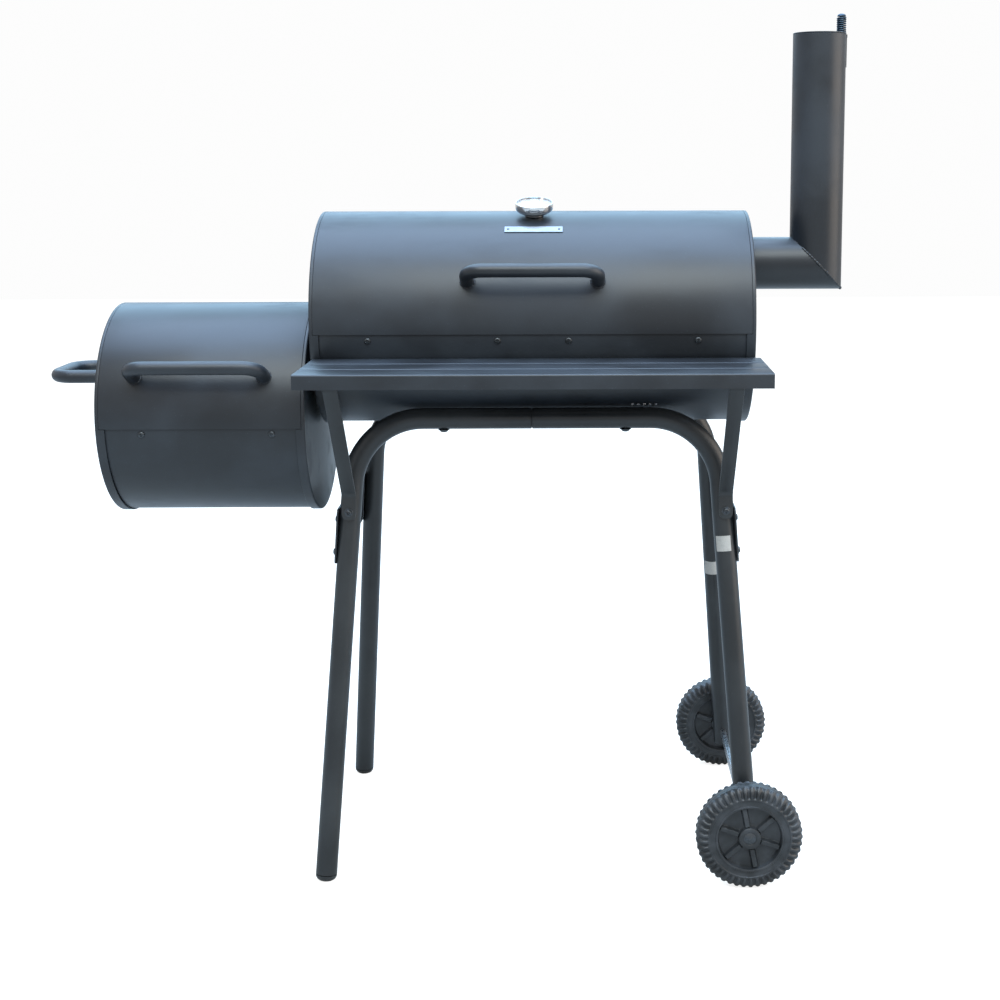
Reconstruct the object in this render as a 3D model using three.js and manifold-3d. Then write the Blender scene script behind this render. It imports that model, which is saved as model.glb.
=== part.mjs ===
// Offset smoker: a lidded main barrel with a lower side firebox, a mitred smoke stack, a slatted
// front shelf and a splayed tube stand on two feet and two wheels.
// Millimetres. +X runs from the firebox to the stack, +Y to the back, +Z up.
// The drums are drawn about x = 0, y = 0 and the ground; the whole group is centred at the end.

import * as THREE from "three";
import { mergeVertices } from "three/addons/utils/BufferGeometryUtils.js";
import Module from "manifold-3d";

const manifoldLibrary = await Module();
manifoldLibrary.setup();

// ---------------------------------------------------------------- driving dimensions

const GAP = 0.3; // clearance between pieces that touch
const SHEET = 1.2; // rolled sheet of lids and shells
const PLATE = 1.5; // pressed end discs

const barrel = { radius: 155, left: -308, right: 308, height: 784 };
const firebox = { radius: 153.5, left: -608.5, right: -317.5, height: 653 };

const DRUM_SIDES = 44; // facets round a full drum
const RIM_WIDTH = 5; // full-radius rim of an end disc, beside the lid
const FLANGE_WIDTH = 13; // skirt of an end disc that carries the shell
const LID_FRONT_DROP = 3.2; // degrees below the axis where a lid ends at the front
const LID_REAR_RISE = 8; // degrees above the axis where a lid ends at the back
const SHELL_FRONT_LAP = 3; // degrees above the axis that a shell reaches inside its lid
const SHELL_REAR_LAP = 6.5; // degrees above the axis that a shell reaches behind its hinges

// Facets round bent tubes, plugs, small fixings, the dial's case, pipes and discs, and wheels.
const TUBE_SIDES = 10;
const PLUG_SIDES = 14;
const FIXING_SIDES = 16;
const CASE_SIDES = 20;
const PIPE_SIDES = 24;
const WHEEL_SIDES = 32;

const stand = {
  centreX: 2.5,
  tubeRadius: 15,
  wall: 1.5,
  barHeight: 650,
  barY: 104,
  cornerX: 254.5, // half width where the bar and a leg would meet
  groundX: 302.5, // half width of the legs at the ground
  groundY: 193, // half depth of the legs at the ground
  bendRadius: 100,
  jointX: -4, // where the two halves of a frame are plugged together
};

const wheel = { radius: 75, width: 35, innerY: 200, hubRadius: 17, boreRadius: 5.4, rimDepth: 9 };
const AXLE_RADIUS = 5;

const shelf = {
  left: -304,
  right: 314,
  top: 742,
  front: -312,
  slatPitch: 54,
  slatWidth: 52,
  depth: 19.5,
  wall: 1.5,
};
const support = {
  leftX: -262,
  rightX: 270,
  halfWidth: 10,
  thickness: 3,
  foot: 510,
  bend: 547,
  front: -272,
};
const sideBoard = { height: 485, thickness: 2.5, depth: 278, tall: 80 };

const stack = { x: 411, stubHeight: 862, radius: 38, wall: 1.5, top: 1190 };
const stub = { flangeRadius: 47, flangeThickness: 2, reach: 170 };
const flapPivot = { x: 446.5, y: 26, boltRadius: 3, lugRadius: 9, springLength: 25, coils: 7 };
const bracket = { thickness: 2, height: 46, from: 5, to: 62, lugThickness: 2.5 };

const grates = {
  thickness: 5,
  bar: 7,
  belowAxis: 24,
  barrel: { inner: 2, outer: 292, half: 143, slots: 12, ledge: 270 },
  firebox: { reach: 128, half: 141, coalHalf: 116, slots: 10, ledge: 120 },
};
const ledge = { thickness: 1.5, rise: 16, width: 16 };
const tray = { halfLength: 272, halfWidth: 98, depth: 26, wall: 1.2 };
const thermometer = { angle: 15, stemRadius: 3.5, faceHeight: 19, glassRadius: 25.1, pointerStart: 135 };
const namePlate = { angle: 122, halfAngle: 2.4, halfLength: 41, thickness: 1 };

const handle = { tubeRadius: 9.5, wall: 1.5, halfSpan: 90, standOff: 45, bendRadius: 24, angle: 24 };
const endHandle = { halfSpan: 55, height: 705, reach: 98, bendRadius: 28 };

const smokeHole = { height: 735, radius: 50, collarRadius: 60 };
const shutter = { height: 575, radius: 44, holeRadius: 10, holeCircle: 27, holes: 3, rivetRadius: 3 };

// ---------------------------------------------------------------- colours and finishes

const satinBlackPaint = { color: 0x353b43, roughness: 0.42, metalness: 0.2 };
const standPaint = { color: 0x2d3238, roughness: 0.48, metalness: 0.2 };
const brightSteel = { color: 0xb9bcc0, roughness: 0.3, metalness: 0.9 };
const chromePlate = { color: 0xd5d7da, roughness: 0.12, metalness: 1.0 };
const castGrate = { color: 0x24262a, roughness: 0.6, metalness: 0.4 };
const blackPlastic = { color: 0x2a2d33, roughness: 0.62, metalness: 0.0 };
const clearGlass = { color: 0xdfe6ea, roughness: 0.05, metalness: 0.0 };
const redPaint = { color: 0xb03028, roughness: 0.5, metalness: 0.0 };

// ---------------------------------------------------------------- solids

const degrees = (angle) => (angle * Math.PI) / 180;
const vector = (x, y, z) => new THREE.Vector3(x, y, z);

// Six times the signed volume of a closed mesh, positive when its faces point out.
function signedVolume(geometry) {
  const position = geometry.getAttribute("position");
  const index = geometry.index;
  const corner = [vector(0, 0, 0), vector(0, 0, 0), vector(0, 0, 0)];
  let sum = 0;
  for (let i = 0; i < index.count; i += 3) {
    for (let k = 0; k < 3; k += 1) {
      corner[k].fromBufferAttribute(position, index.getX(i + k));
    }
    sum += corner[0].dot(corner[1].clone().cross(corner[2]));
  }
  return sum;
}

// Merges a geometry down to its shared corners and turns its faces outwards.
function closed(geometry) {
  const bare = geometry.clone();
  bare.deleteAttribute("normal");
  bare.deleteAttribute("uv");
  const merged = mergeVertices(bare, 1e-4);
  if (signedVolume(merged) < 0) {
    const index = merged.index;
    for (let i = 0; i < index.count; i += 3) {
      const second = index.getX(i + 1);
      index.setX(i + 1, index.getX(i + 2));
      index.setX(i + 2, second);
    }
  }
  return merged;
}

function toManifold(geometry) {
  const merged = closed(geometry);
  const mesh = new manifoldLibrary.Mesh({
    numProp: 3,
    vertProperties: new Float32Array(merged.getAttribute("position").array),
    triVerts: new Uint32Array(merged.index.array),
  });
  return new manifoldLibrary.Manifold(mesh);
}

function toGeometry(solid) {
  const mesh = solid.getMesh();
  const geometry = new THREE.BufferGeometry();
  geometry.setAttribute("position", new THREE.BufferAttribute(mesh.vertProperties, 3));
  geometry.setIndex(new THREE.BufferAttribute(mesh.triVerts, 1));
  return geometry;
}

function join(first, ...others) {
  return toGeometry(others.reduce((sum, other) => sum.add(toManifold(other)), toManifold(first)));
}

function cut(first, ...others) {
  return toGeometry(others.reduce((rest, other) => rest.subtract(toManifold(other)), toManifold(first)));
}

function keepInside(first, other) {
  return toGeometry(toManifold(first).intersect(toManifold(other)));
}

// ---------------------------------------------------------------- shapes

function box(low, high) {
  const size = high.clone().sub(low);
  const centre = low.clone().add(high).multiplyScalar(0.5);
  return new THREE.BoxGeometry(size.x, size.y, size.z).translate(centre.x, centre.y, centre.z);
}

// A straight round bar from one point to another.
function rod(from, to, radius, sides = TUBE_SIDES) {
  const along = to.clone().sub(from);
  const turn = new THREE.Quaternion().setFromUnitVectors(vector(0, 1, 0), along.clone().normalize());
  const middle = from.clone().add(to).multiplyScalar(0.5);
  return new THREE.CylinderGeometry(radius, radius, along.length(), sides)
    .applyQuaternion(turn)
    .translate(middle.x, middle.y, middle.z);
}

// A profile of [radius, distance] pairs turned about the line from base along direction.
function turned(profile, base, direction, sides) {
  const points = profile.map(([radius, distance]) => new THREE.Vector2(radius, distance));
  const turn = new THREE.Quaternion()
    .setFromUnitVectors(vector(0, 1, 0), direction.clone().normalize());
  return new THREE.LatheGeometry(points, sides)
    .applyQuaternion(turn)
    .translate(base.x, base.y, base.z);
}

// A flat outline in Y and Z carried along X from one side to the other.
function carriedAlongX(outline, left, right, curveSegments = 12) {
  const toFrame = new THREE.Matrix4().makeBasis(vector(0, 1, 0), vector(0, 0, 1), vector(1, 0, 0));
  const options = { depth: right - left, bevelEnabled: false, curveSegments };
  return new THREE.ExtrudeGeometry(outline, options)
    .applyMatrix4(toFrame)
    .translate(left, 0, 0);
}

function outlineOf(pairs) {
  return new THREE.Shape(pairs.map(([across, up]) => new THREE.Vector2(across, up)));
}

// A curved sheet about a drum's axis. Angles are in degrees from the back, over the top.
function curvedSheet(drum, outer, inner, fromAngle, toAngle, left, right) {
  const outline = new THREE.Shape();
  outline.absarc(0, 0, outer, degrees(fromAngle), degrees(toAngle), false);
  outline.absarc(0, 0, inner, degrees(toAngle), degrees(fromAngle), true);
  const facets = Math.ceil(((toAngle - fromAngle) / 360) * DRUM_SIDES);
  return carriedAlongX(outline, left, right, Math.ceil(facets / 2)).translate(0, 0, drum.height);
}

// A closed outline of a flat bar that follows a bent centre line in Y and Z.
function bentStripOutline(centreLine, thickness) {
  const left = [];
  const right = [];
  centreLine.forEach(([y, z], i) => {
    const before = centreLine[Math.max(i - 1, 0)];
    const after = centreLine[Math.min(i + 1, centreLine.length - 1)];
    const into = new THREE.Vector2(y - before[0], z - before[1]).normalize();
    const out = new THREE.Vector2(after[0] - y, after[1] - z).normalize();
    const along = into.clone().add(out).normalize();
    const widen = Math.max(along.dot(i === 0 ? out : into), 0.35);
    const side = new THREE.Vector2(-along.y, along.x).multiplyScalar(thickness / 2 / widen);
    left.push([y + side.x, z + side.y]);
    right.unshift([y - side.x, z - side.y]);
  });
  return outlineOf([...left, ...right]);
}

// A path through given stations, each a point with its direction.
class StationPath extends THREE.Curve {
  constructor(stations) {
    super();
    this.stations = stations;
  }

  station(t) {
    return this.stations[Math.round(t * (this.stations.length - 1))];
  }

  getPoint(t) {
    return this.station(t).point.clone();
  }

  getTangent(t) {
    return this.station(t).direction.clone();
  }

  getPointAt(t) {
    return this.getPoint(t);
  }

  getTangentAt(t) {
    return this.getTangent(t);
  }
}

// Straight runs joined by round bends: a station at each end and bendSteps + 1 round each bend.
function bentPath(corners, bendRadius, bendSteps) {
  const stations = [];
  const last = corners.length - 1;
  const heading = (i) => corners[i + 1].clone().sub(corners[i]).normalize();
  stations.push({ point: corners[0].clone(), direction: heading(0) });
  for (let i = 1; i < last; i += 1) {
    const into = heading(i - 1);
    const out = heading(i);
    const turn = into.angleTo(out);
    const trim = bendRadius * Math.tan(turn / 2);
    const inwards = out.clone().sub(into).normalize();
    const centre = corners[i].clone().addScaledVector(inwards, bendRadius / Math.cos(turn / 2));
    const spoke = corners[i].clone().addScaledVector(into, -trim).sub(centre);
    const axis = into.clone().cross(out).normalize();
    for (let k = 0; k <= bendSteps; k += 1) {
      const angle = (turn * k) / bendSteps;
      stations.push({
        point: centre.clone().add(spoke.clone().applyAxisAngle(axis, angle)),
        direction: into.clone().applyAxisAngle(axis, angle),
      });
    }
  }
  stations.push({ point: corners[last].clone(), direction: heading(last - 1) });
  return new StationPath(stations);
}

// Round tube along a bent path, open at both ends.
function bentTube(corners, radius, wall, bendRadius, bendSteps) {
  const section = new THREE.Shape().absarc(0, 0, radius, 0, 2 * Math.PI, false);
  section.holes.push(new THREE.Path().absarc(0, 0, radius - wall, 0, 2 * Math.PI, true));
  const path = bentPath(corners, bendRadius, bendSteps);
  return new THREE.ExtrudeGeometry(section, {
    steps: path.stations.length - 1,
    curveSegments: TUBE_SIDES / 2,
    extrudePath: path,
  });
}

// ---------------------------------------------------------------- scene

const smoker = new THREE.Group();

function addPart(name, geometry, finish) {
  const solid = closed(geometry);
  solid.computeVertexNormals();
  const mesh = new THREE.Mesh(solid, new THREE.MeshStandardMaterial(finish));
  mesh.name = name;
  smoker.add(mesh);
}

// ---------------------------------------------------------------- drums

// Radii shared by both drums, stepped inwards from the lid's outer face.
function drumRadii(drum) {
  const flange = drum.radius - SHEET - 2 * GAP;
  const facetDip = flange * (1 - Math.cos(Math.PI / DRUM_SIDES));
  const shell = flange - SHEET - GAP - facetDip;
  return { lid: drum.radius, lidInner: drum.radius - SHEET, flange, shell, shellInner: shell - SHEET };
}

function drumLid(drum) {
  const radii = drumRadii(drum);
  const left = drum.left + RIM_WIDTH + GAP;
  const right = drum.right - RIM_WIDTH - GAP;
  const front = 180 + LID_FRONT_DROP;
  return curvedSheet(drum, radii.lid, radii.lidInner, LID_REAR_RISE, front, left, right);
}

function drumShell(drum) {
  const radii = drumRadii(drum);
  const inset = PLATE + GAP;
  return curvedSheet(drum, radii.shell, radii.shellInner, 180 - SHELL_FRONT_LAP,
    360 + SHELL_REAR_LAP, drum.left + inset, drum.right - inset);
}

// Pressed end disc: face, full-radius rim, stepped skirt, and a flush band below the lid line.
function drumEnd(drum, side) {
  const radii = drumRadii(drum);
  const face = side < 0 ? drum.left : drum.right;
  const inner = radii.flange - SHEET;
  const profile = [
    [0, 0], [drum.radius, 0], [drum.radius, RIM_WIDTH], [radii.flange, RIM_WIDTH],
    [radii.flange, FLANGE_WIDTH], [inner, FLANGE_WIDTH], [inner, PLATE], [0, PLATE],
  ];
  const dish = turned(profile, vector(face, 0, drum.height), vector(-side, 0, 0), DRUM_SIDES);
  const near = face - side * (RIM_WIDTH - 1);
  const far = face - side * FLANGE_WIDTH;
  const marginAngle = 0.3;
  const band = curvedSheet(drum, drum.radius, radii.flange - 0.6, 180 + LID_FRONT_DROP + marginAngle,
    360 + LID_REAR_RISE - marginAngle, Math.min(near, far), Math.max(near, far));
  return join(dish, band);
}

function throughX(x, y, height, radius, sides) {
  return rod(vector(x - 30, y, height), vector(x + 30, y, height), radius, sides);
}

// Bent tube handle standing square off a lid.
function lidHandle(drum, centreX) {
  const direction = vector(0, -Math.cos(degrees(handle.angle)), Math.sin(degrees(handle.angle)));
  const axisPoint = (x, distance) => vector(x, 0, drum.height).addScaledVector(direction, distance);
  const foot = drum.radius + 2 * GAP;
  const bar = drum.radius + handle.standOff;
  const corners = [
    axisPoint(centreX - handle.halfSpan, foot), axisPoint(centreX - handle.halfSpan, bar),
    axisPoint(centreX + handle.halfSpan, bar), axisPoint(centreX + handle.halfSpan, foot),
  ];
  return bentTube(corners, handle.tubeRadius, handle.wall, handle.bendRadius, 5);
}

// ---------------------------------------------------------------- butt hinges behind the drums

const hinge = {
  width: 60,
  angle: 7, // degrees above the drum's axis
  pinOffset: 5,
  pinRadius: 2.2,
  headRadius: 3.8,
  headLength: 2.5,
  knuckleRadius: 4.6,
  knuckle: 18,
  leaf: 2,
  leafLength: 30,
};

// A frame at the hinge line: first axis away from the drum, second up along its back.
function hingeFrame(drum) {
  const away = vector(0, Math.cos(degrees(hinge.angle)), Math.sin(degrees(hinge.angle)));
  const along = vector(0, -away.z, away.y);
  return new THREE.Matrix4()
    .makeBasis(away, along, vector(1, 0, 0))
    .setPosition(0, 0, drum.height);
}

function hingeBlock(drum, [awayFrom, awayTo], [upFrom, upTo], [left, right]) {
  const low = vector(awayFrom, upFrom, left);
  const high = vector(awayTo, upTo, right);
  return box(low, high).applyMatrix4(hingeFrame(drum));
}

function hingeBar(drum, radius, left, right) {
  const pinLine = drum.radius + hinge.pinOffset;
  const bar = rod(vector(pinLine, 0, left), vector(pinLine, 0, right), radius);
  return bar.applyMatrix4(hingeFrame(drum));
}

function upperLeaf(drum, x) {
  const pinLine = drum.radius + hinge.pinOffset;
  const face = drum.radius + GAP;
  const halfKnuckle = hinge.width / 2 - hinge.knuckle - GAP;
  const middle = [x - halfKnuckle, x + halfKnuckle];
  const leaf = hingeBlock(drum, [face, face + hinge.leaf], [hinge.knuckleRadius + 1, hinge.leafLength],
    [x - hinge.width / 2, x + hinge.width / 2]);
  const web = hingeBlock(drum, [face + 0.3, pinLine - 1], [0, hinge.knuckleRadius + 3], middle);
  const joined = join(leaf, web, hingeBar(drum, hinge.knuckleRadius, ...middle));
  return cut(joined, hingeBar(drum, hinge.pinRadius + GAP, x - hinge.width, x + hinge.width));
}

function lowerLeaf(drum, x) {
  const pinLine = drum.radius + hinge.pinOffset;
  const face = drumRadii(drum).shell + GAP;
  const ends = [
    [x - hinge.width / 2, x - hinge.width / 2 + hinge.knuckle],
    [x + hinge.width / 2 - hinge.knuckle, x + hinge.width / 2],
  ];
  const leafSpan = [-hinge.leafLength - 6, -hinge.knuckleRadius - 2];
  const leaf = hingeBlock(drum, [face, face + hinge.leaf], leafSpan,
    [x - hinge.width / 2 - 1, x + hinge.width / 2 + 1]);
  const webs = ends.map(([from, to]) => hingeBlock(drum, [face + 0.3, pinLine],
    [-hinge.knuckleRadius - 3.5, -1], [from + 0.5, to - 0.5]));
  const knuckles = ends.map((end) => hingeBar(drum, hinge.knuckleRadius, ...end));
  const joined = join(leaf, ...webs, ...knuckles);
  return cut(joined, hingeBar(drum, hinge.pinRadius + GAP, x - hinge.width, x + hinge.width));
}

function hingePin(drum, x) {
  const pinLine = drum.radius + hinge.pinOffset;
  const half = hinge.width / 2;
  const shank = half + GAP + 0.1;
  const end = half + hinge.headLength;
  const profile = [
    [0, -end], [hinge.headRadius, -end], [hinge.headRadius, -shank], [hinge.pinRadius, -shank],
    [hinge.pinRadius, shank], [hinge.headRadius, shank], [hinge.headRadius, end], [0, end],
  ];
  const pin = turned(profile, vector(pinLine, 0, x), vector(0, 0, 1), TUBE_SIDES);
  return pin.applyMatrix4(hingeFrame(drum));
}

function addHinge(prefix, drum, x) {
  addPart(`${prefix}_lid_leaf`, upperLeaf(drum, x), satinBlackPaint);
  addPart(`${prefix}_body_leaf`, lowerLeaf(drum, x), satinBlackPaint);
  addPart(`${prefix}_pin`, hingePin(drum, x), brightSteel);
}

// ---------------------------------------------------------------- grates and their ledges

// Angle strip inside a shell that a grate lies on.
function grateLedge(drum, side, height, left, right) {
  const radii = drumRadii(drum);
  const foot = height - ledge.thickness;
  const wallY = Math.sqrt(radii.shellInner ** 2 - (foot - drum.height) ** 2) - 2 * GAP;
  const outer = side * wallY;
  const inner = side * (wallY - ledge.thickness);
  const lip = side * (wallY - ledge.width);
  const outline = outlineOf([
    [outer, foot], [outer, height + ledge.rise], [inner, height + ledge.rise],
    [inner, height], [lip, height], [lip, foot],
  ]);
  return carriedAlongX(outline, left, right);
}

// Rectangular frame with cross bars, drawn as a slotted plate.
function grate(left, right, halfDepth, bottom, slots) {
  const { bar, thickness } = grates;
  const top = bottom + thickness;
  const pitch = (right - left - bar) / slots;
  const openings = [];
  for (let i = 0; i < slots; i += 1) {
    const from = left + bar + i * pitch;
    const to = from + pitch - bar;
    openings.push(box(vector(from, bar / 2, bottom - 1), vector(to, halfDepth - bar, top + 1)));
    openings.push(box(vector(from, bar - halfDepth, bottom - 1), vector(to, -bar / 2, top + 1)));
  }
  return cut(box(vector(left, -halfDepth, bottom), vector(right, halfDepth, top)), ...openings);
}

// ---------------------------------------------------------------- main barrel

const stubHoleRadius = stack.radius / Math.cos(Math.PI / PIPE_SIDES) + GAP;
const barrelSmokeHole = throughX(barrel.left, 0, smokeHole.height, smokeHole.radius, PIPE_SIDES);
const stubHole = throughX(barrel.right, 0, stack.stubHeight, stubHoleRadius, PIPE_SIDES);

addPart("barrel_shell", drumShell(barrel), satinBlackPaint);
addPart("barrel_left_end", cut(drumEnd(barrel, -1), barrelSmokeHole), satinBlackPaint);
addPart("barrel_right_end", cut(drumEnd(barrel, 1), stubHole), satinBlackPaint);

const barrelLedge = barrel.height - grates.belowAxis;
for (const [name, side] of [["front", -1], ["rear", 1]]) {
  const strip = grateLedge(barrel, side, barrelLedge, -grates.barrel.ledge, grates.barrel.ledge);
  addPart(`barrel_${name}_grate_ledge`, strip, castGrate);
}
function barrelGrate(left, right) {
  return grate(left, right, grates.barrel.half, barrelLedge + GAP, grates.barrel.slots);
}
addPart("cooking_grate_left", barrelGrate(-grates.barrel.outer, -grates.barrel.inner), castGrate);
addPart("cooking_grate_right", barrelGrate(grates.barrel.inner, grates.barrel.outer), castGrate);

// Charcoal tray: an open box whose long lower edges rest on the shell's curve.
const trayDrop = Math.sqrt(drumRadii(barrel).shellInner ** 2 - tray.halfWidth ** 2);
const trayBase = barrel.height - trayDrop + 2 * GAP;
function trayBlock(inset, bottom, top) {
  const halfLength = tray.halfLength - inset;
  const halfWidth = tray.halfWidth - inset;
  return box(vector(-halfLength, -halfWidth, bottom), vector(halfLength, halfWidth, top));
}
const trayBody = trayBlock(0, trayBase, trayBase + tray.depth);
const trayHollow = trayBlock(tray.wall, trayBase + tray.wall, trayBase + tray.depth + 1);
addPart("charcoal_tray", cut(trayBody, trayHollow), castGrate);

// Lid with the hole for the thermometer's stem.
const thermometerTilt = degrees(thermometer.angle);
const thermometerAxis = vector(0, -Math.sin(thermometerTilt), Math.cos(thermometerTilt));
function thermometerPoint(height) {
  return vector(0, 0, barrel.height).addScaledVector(thermometerAxis, barrel.radius + height);
}
const stemHole = rod(thermometerPoint(-20), thermometerPoint(20), thermometer.stemRadius + 0.5);
addPart("barrel_lid", cut(drumLid(barrel), stemHole), satinBlackPaint);
addPart("barrel_lid_handle", lidHandle(barrel, 0), satinBlackPaint);
addHinge("barrel_left_hinge", barrel, -190);
addHinge("barrel_right_hinge", barrel, 190);

// Thermometer: stem, collar and dished case in one, then pointer and glass.
const face = thermometer.faceHeight;
const caseProfile = [
  [0, -58], [thermometer.stemRadius, -56], [thermometer.stemRadius, GAP], [9, GAP], [9, 5], [15, 8],
  [25, 10], [27, 13], [27, face], [25.5, face + 1], [25.5, face - 3.2], [24, face - 3.2],
  [24, face - 7], [0, face - 7],
];
const thermometerCase = turned(caseProfile, thermometerPoint(0), thermometerAxis, CASE_SIDES);
addPart("thermometer_case", thermometerCase, chromePlate);
const glassFrom = thermometerPoint(face - 2.8);
const glassTo = thermometerPoint(face - 1);
addPart("thermometer_glass", rod(glassFrom, glassTo, thermometer.glassRadius, CASE_SIDES), clearGlass);
const pointerShape = outlineOf([[-2.5, -5], [2.5, -5], [3, 0], [0.8, 19], [-0.8, 19], [-3, 0]]);
const pointerTurn = new THREE.Matrix4().makeRotationX(thermometerTilt);
addPart("thermometer_pointer",
  new THREE.ExtrudeGeometry(pointerShape, { depth: 0.8, bevelEnabled: false })
    .rotateZ(degrees(thermometer.pointerStart))
    .applyMatrix4(pointerTurn)
    .translate(...thermometerPoint(face - 5.6).toArray()), redPaint);

const plateInner = barrel.radius + GAP;
addPart("name_plate",
  curvedSheet(barrel, plateInner + namePlate.thickness, plateInner, namePlate.angle - namePlate.halfAngle,
    namePlate.angle + namePlate.halfAngle, -namePlate.halfLength, namePlate.halfLength), brightSteel);

// ---------------------------------------------------------------- firebox

const fireboxCentre = (firebox.left + firebox.right) / 2;
const shutterPoint = vector(firebox.left, 0, shutter.height);
const airHoles = Array.from({ length: shutter.holes }, (_, i) => {
  const angle = degrees((360 * i) / shutter.holes);
  return throughX(firebox.left, shutter.holeCircle * Math.sin(angle),
    shutter.height + shutter.holeCircle * Math.cos(angle), shutter.holeRadius, FIXING_SIDES);
});
const rivetHole = throughX(firebox.left, 0, shutter.height, shutter.rivetRadius + GAP, 12);
const fireboxSmokeHole = throughX(firebox.right, 0, smokeHole.height, smokeHole.radius, PIPE_SIDES);

addPart("firebox_shell", drumShell(firebox), satinBlackPaint);
addPart("firebox_left_end", cut(drumEnd(firebox, -1), ...airHoles, rivetHole), satinBlackPaint);
addPart("firebox_right_end", cut(drumEnd(firebox, 1), fireboxSmokeHole), satinBlackPaint);
addPart("firebox_lid", drumLid(firebox), satinBlackPaint);
addPart("firebox_lid_handle", lidHandle(firebox, fireboxCentre - 1.5), satinBlackPaint);
addHinge("firebox_hinge", firebox, fireboxCentre);

const fireboxLedge = firebox.height - grates.belowAxis;
for (const [name, side] of [["front", -1], ["rear", 1]]) {
  const from = fireboxCentre - grates.firebox.ledge;
  const to = fireboxCentre + grates.firebox.ledge;
  addPart(`firebox_${name}_grate_ledge`, grateLedge(firebox, side, fireboxLedge, from, to), castGrate);
}
function fireboxGrate(halfDepth, bottom) {
  const { reach, slots } = grates.firebox;
  return grate(fireboxCentre - reach, fireboxCentre + reach, halfDepth, bottom, slots);
}
addPart("firebox_cooking_grate", fireboxGrate(grates.firebox.half, fireboxLedge + GAP), castGrate);
const coalDrop = Math.sqrt(drumRadii(firebox).shellInner ** 2 - grates.firebox.coalHalf ** 2);
const coalBase = firebox.height - coalDrop + 2 * GAP;
addPart("firebox_charcoal_grate", fireboxGrate(grates.firebox.coalHalf, coalBase), castGrate);

// Collar that carries the smoke across the small space between the two end discs.
const collarProfile = [
  [smokeHole.radius, GAP], [smokeHole.collarRadius, GAP],
  [smokeHole.collarRadius, barrel.left - firebox.right - GAP],
  [smokeHole.radius, barrel.left - firebox.right - GAP], [smokeHole.radius, GAP],
];
const collarBase = vector(firebox.right, 0, smokeHole.height);
addPart("smoke_collar", turned(collarProfile, collarBase, vector(1, 0, 0), PIPE_SIDES), satinBlackPaint);

// U-shaped lifting handle on the firebox's outer end.
const endHandleFoot = firebox.left - GAP;
const endHandleTip = firebox.left - endHandle.reach;
addPart("lifting_handle",
  bentTube([
    vector(endHandleFoot, -endHandle.halfSpan, endHandle.height),
    vector(endHandleTip + handle.tubeRadius, -endHandle.halfSpan, endHandle.height),
    vector(endHandleTip + handle.tubeRadius, endHandle.halfSpan, endHandle.height),
    vector(endHandleFoot, endHandle.halfSpan, endHandle.height),
  ], handle.tubeRadius, handle.wall, endHandle.bendRadius, 6), satinBlackPaint);

// Rotating air shutter on its rivet, with a finger tab.
const shutterOuter = firebox.left - GAP;
const shutterDisc = rod(shutterPoint.clone().setX(shutterOuter - PLATE),
  shutterPoint.clone().setX(shutterOuter), shutter.radius, PIPE_SIDES);
const tabY = shutter.radius - 6;
const tab = box(vector(shutterOuter - 12, tabY, shutter.height - 8),
  vector(shutterOuter - 0.2, tabY + PLATE, shutter.height + 8));
addPart("air_shutter", cut(join(shutterDisc, tab), ...airHoles, rivetHole), satinBlackPaint);
const { rivetRadius } = shutter;
const rivetProfile = [
  [0, -4], [rivetRadius + 2.5, -4], [rivetRadius + 4, -PLATE - 2 * GAP], [rivetRadius, -PLATE - 2 * GAP],
  [rivetRadius, PLATE + GAP], [rivetRadius + 3, PLATE + GAP], [rivetRadius + 3, PLATE + 2], [0, PLATE + 2],
];
addPart("shutter_rivet", turned(rivetProfile, shutterPoint, vector(1, 0, 0), FIXING_SIDES), brightSteel);

// ---------------------------------------------------------------- smoke stack

const pipeBore = stack.radius - stack.wall;
const stubInnerEnd = barrel.right - FLANGE_WIDTH;
const stubFlange = barrel.right - PLATE - GAP;
const flangeTo = stubFlange - stubInnerEnd;
const flangeFrom = flangeTo - stub.flangeThickness;
const stubProfile = [
  [pipeBore, 0], [stack.radius, 0], [stack.radius, flangeFrom], [stub.flangeRadius, flangeFrom],
  [stub.flangeRadius, flangeTo], [stack.radius, flangeTo], [stack.radius, stub.reach],
  [pipeBore, stub.reach], [pipeBore, 0],
];
const stubBase = vector(stubInnerEnd, 0, stack.stubHeight);
const stubPipe = turned(stubProfile, stubBase, vector(1, 0, 0), PIPE_SIDES);
const pipeProfile = [
  [pipeBore, -60], [stack.radius, -60], [stack.radius, stack.top - stack.stubHeight],
  [pipeBore, stack.top - stack.stubHeight], [pipeBore, -60],
];
const pipeBase = vector(stack.x, 0, stack.stubHeight);
const pipe = turned(pipeProfile, pipeBase, vector(0, 0, 1), PIPE_SIDES);

// Half space on one side of the 45 degree mitre, as a large turned box.
function mitreBlock(side) {
  const size = 1200;
  const offset = side * (size / 2 + GAP / 2);
  return new THREE.BoxGeometry(size, size, size)
    .translate(offset, 0, 0)
    .rotateY(degrees(-45))
    .translate(stack.x, 0, stack.stubHeight);
}
addPart("stack_stub", keepInside(stubPipe, mitreBlock(-1)), satinBlackPaint);
addPart("stack_pipe", keepInside(pipe, mitreBlock(1)), satinBlackPaint);

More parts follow.
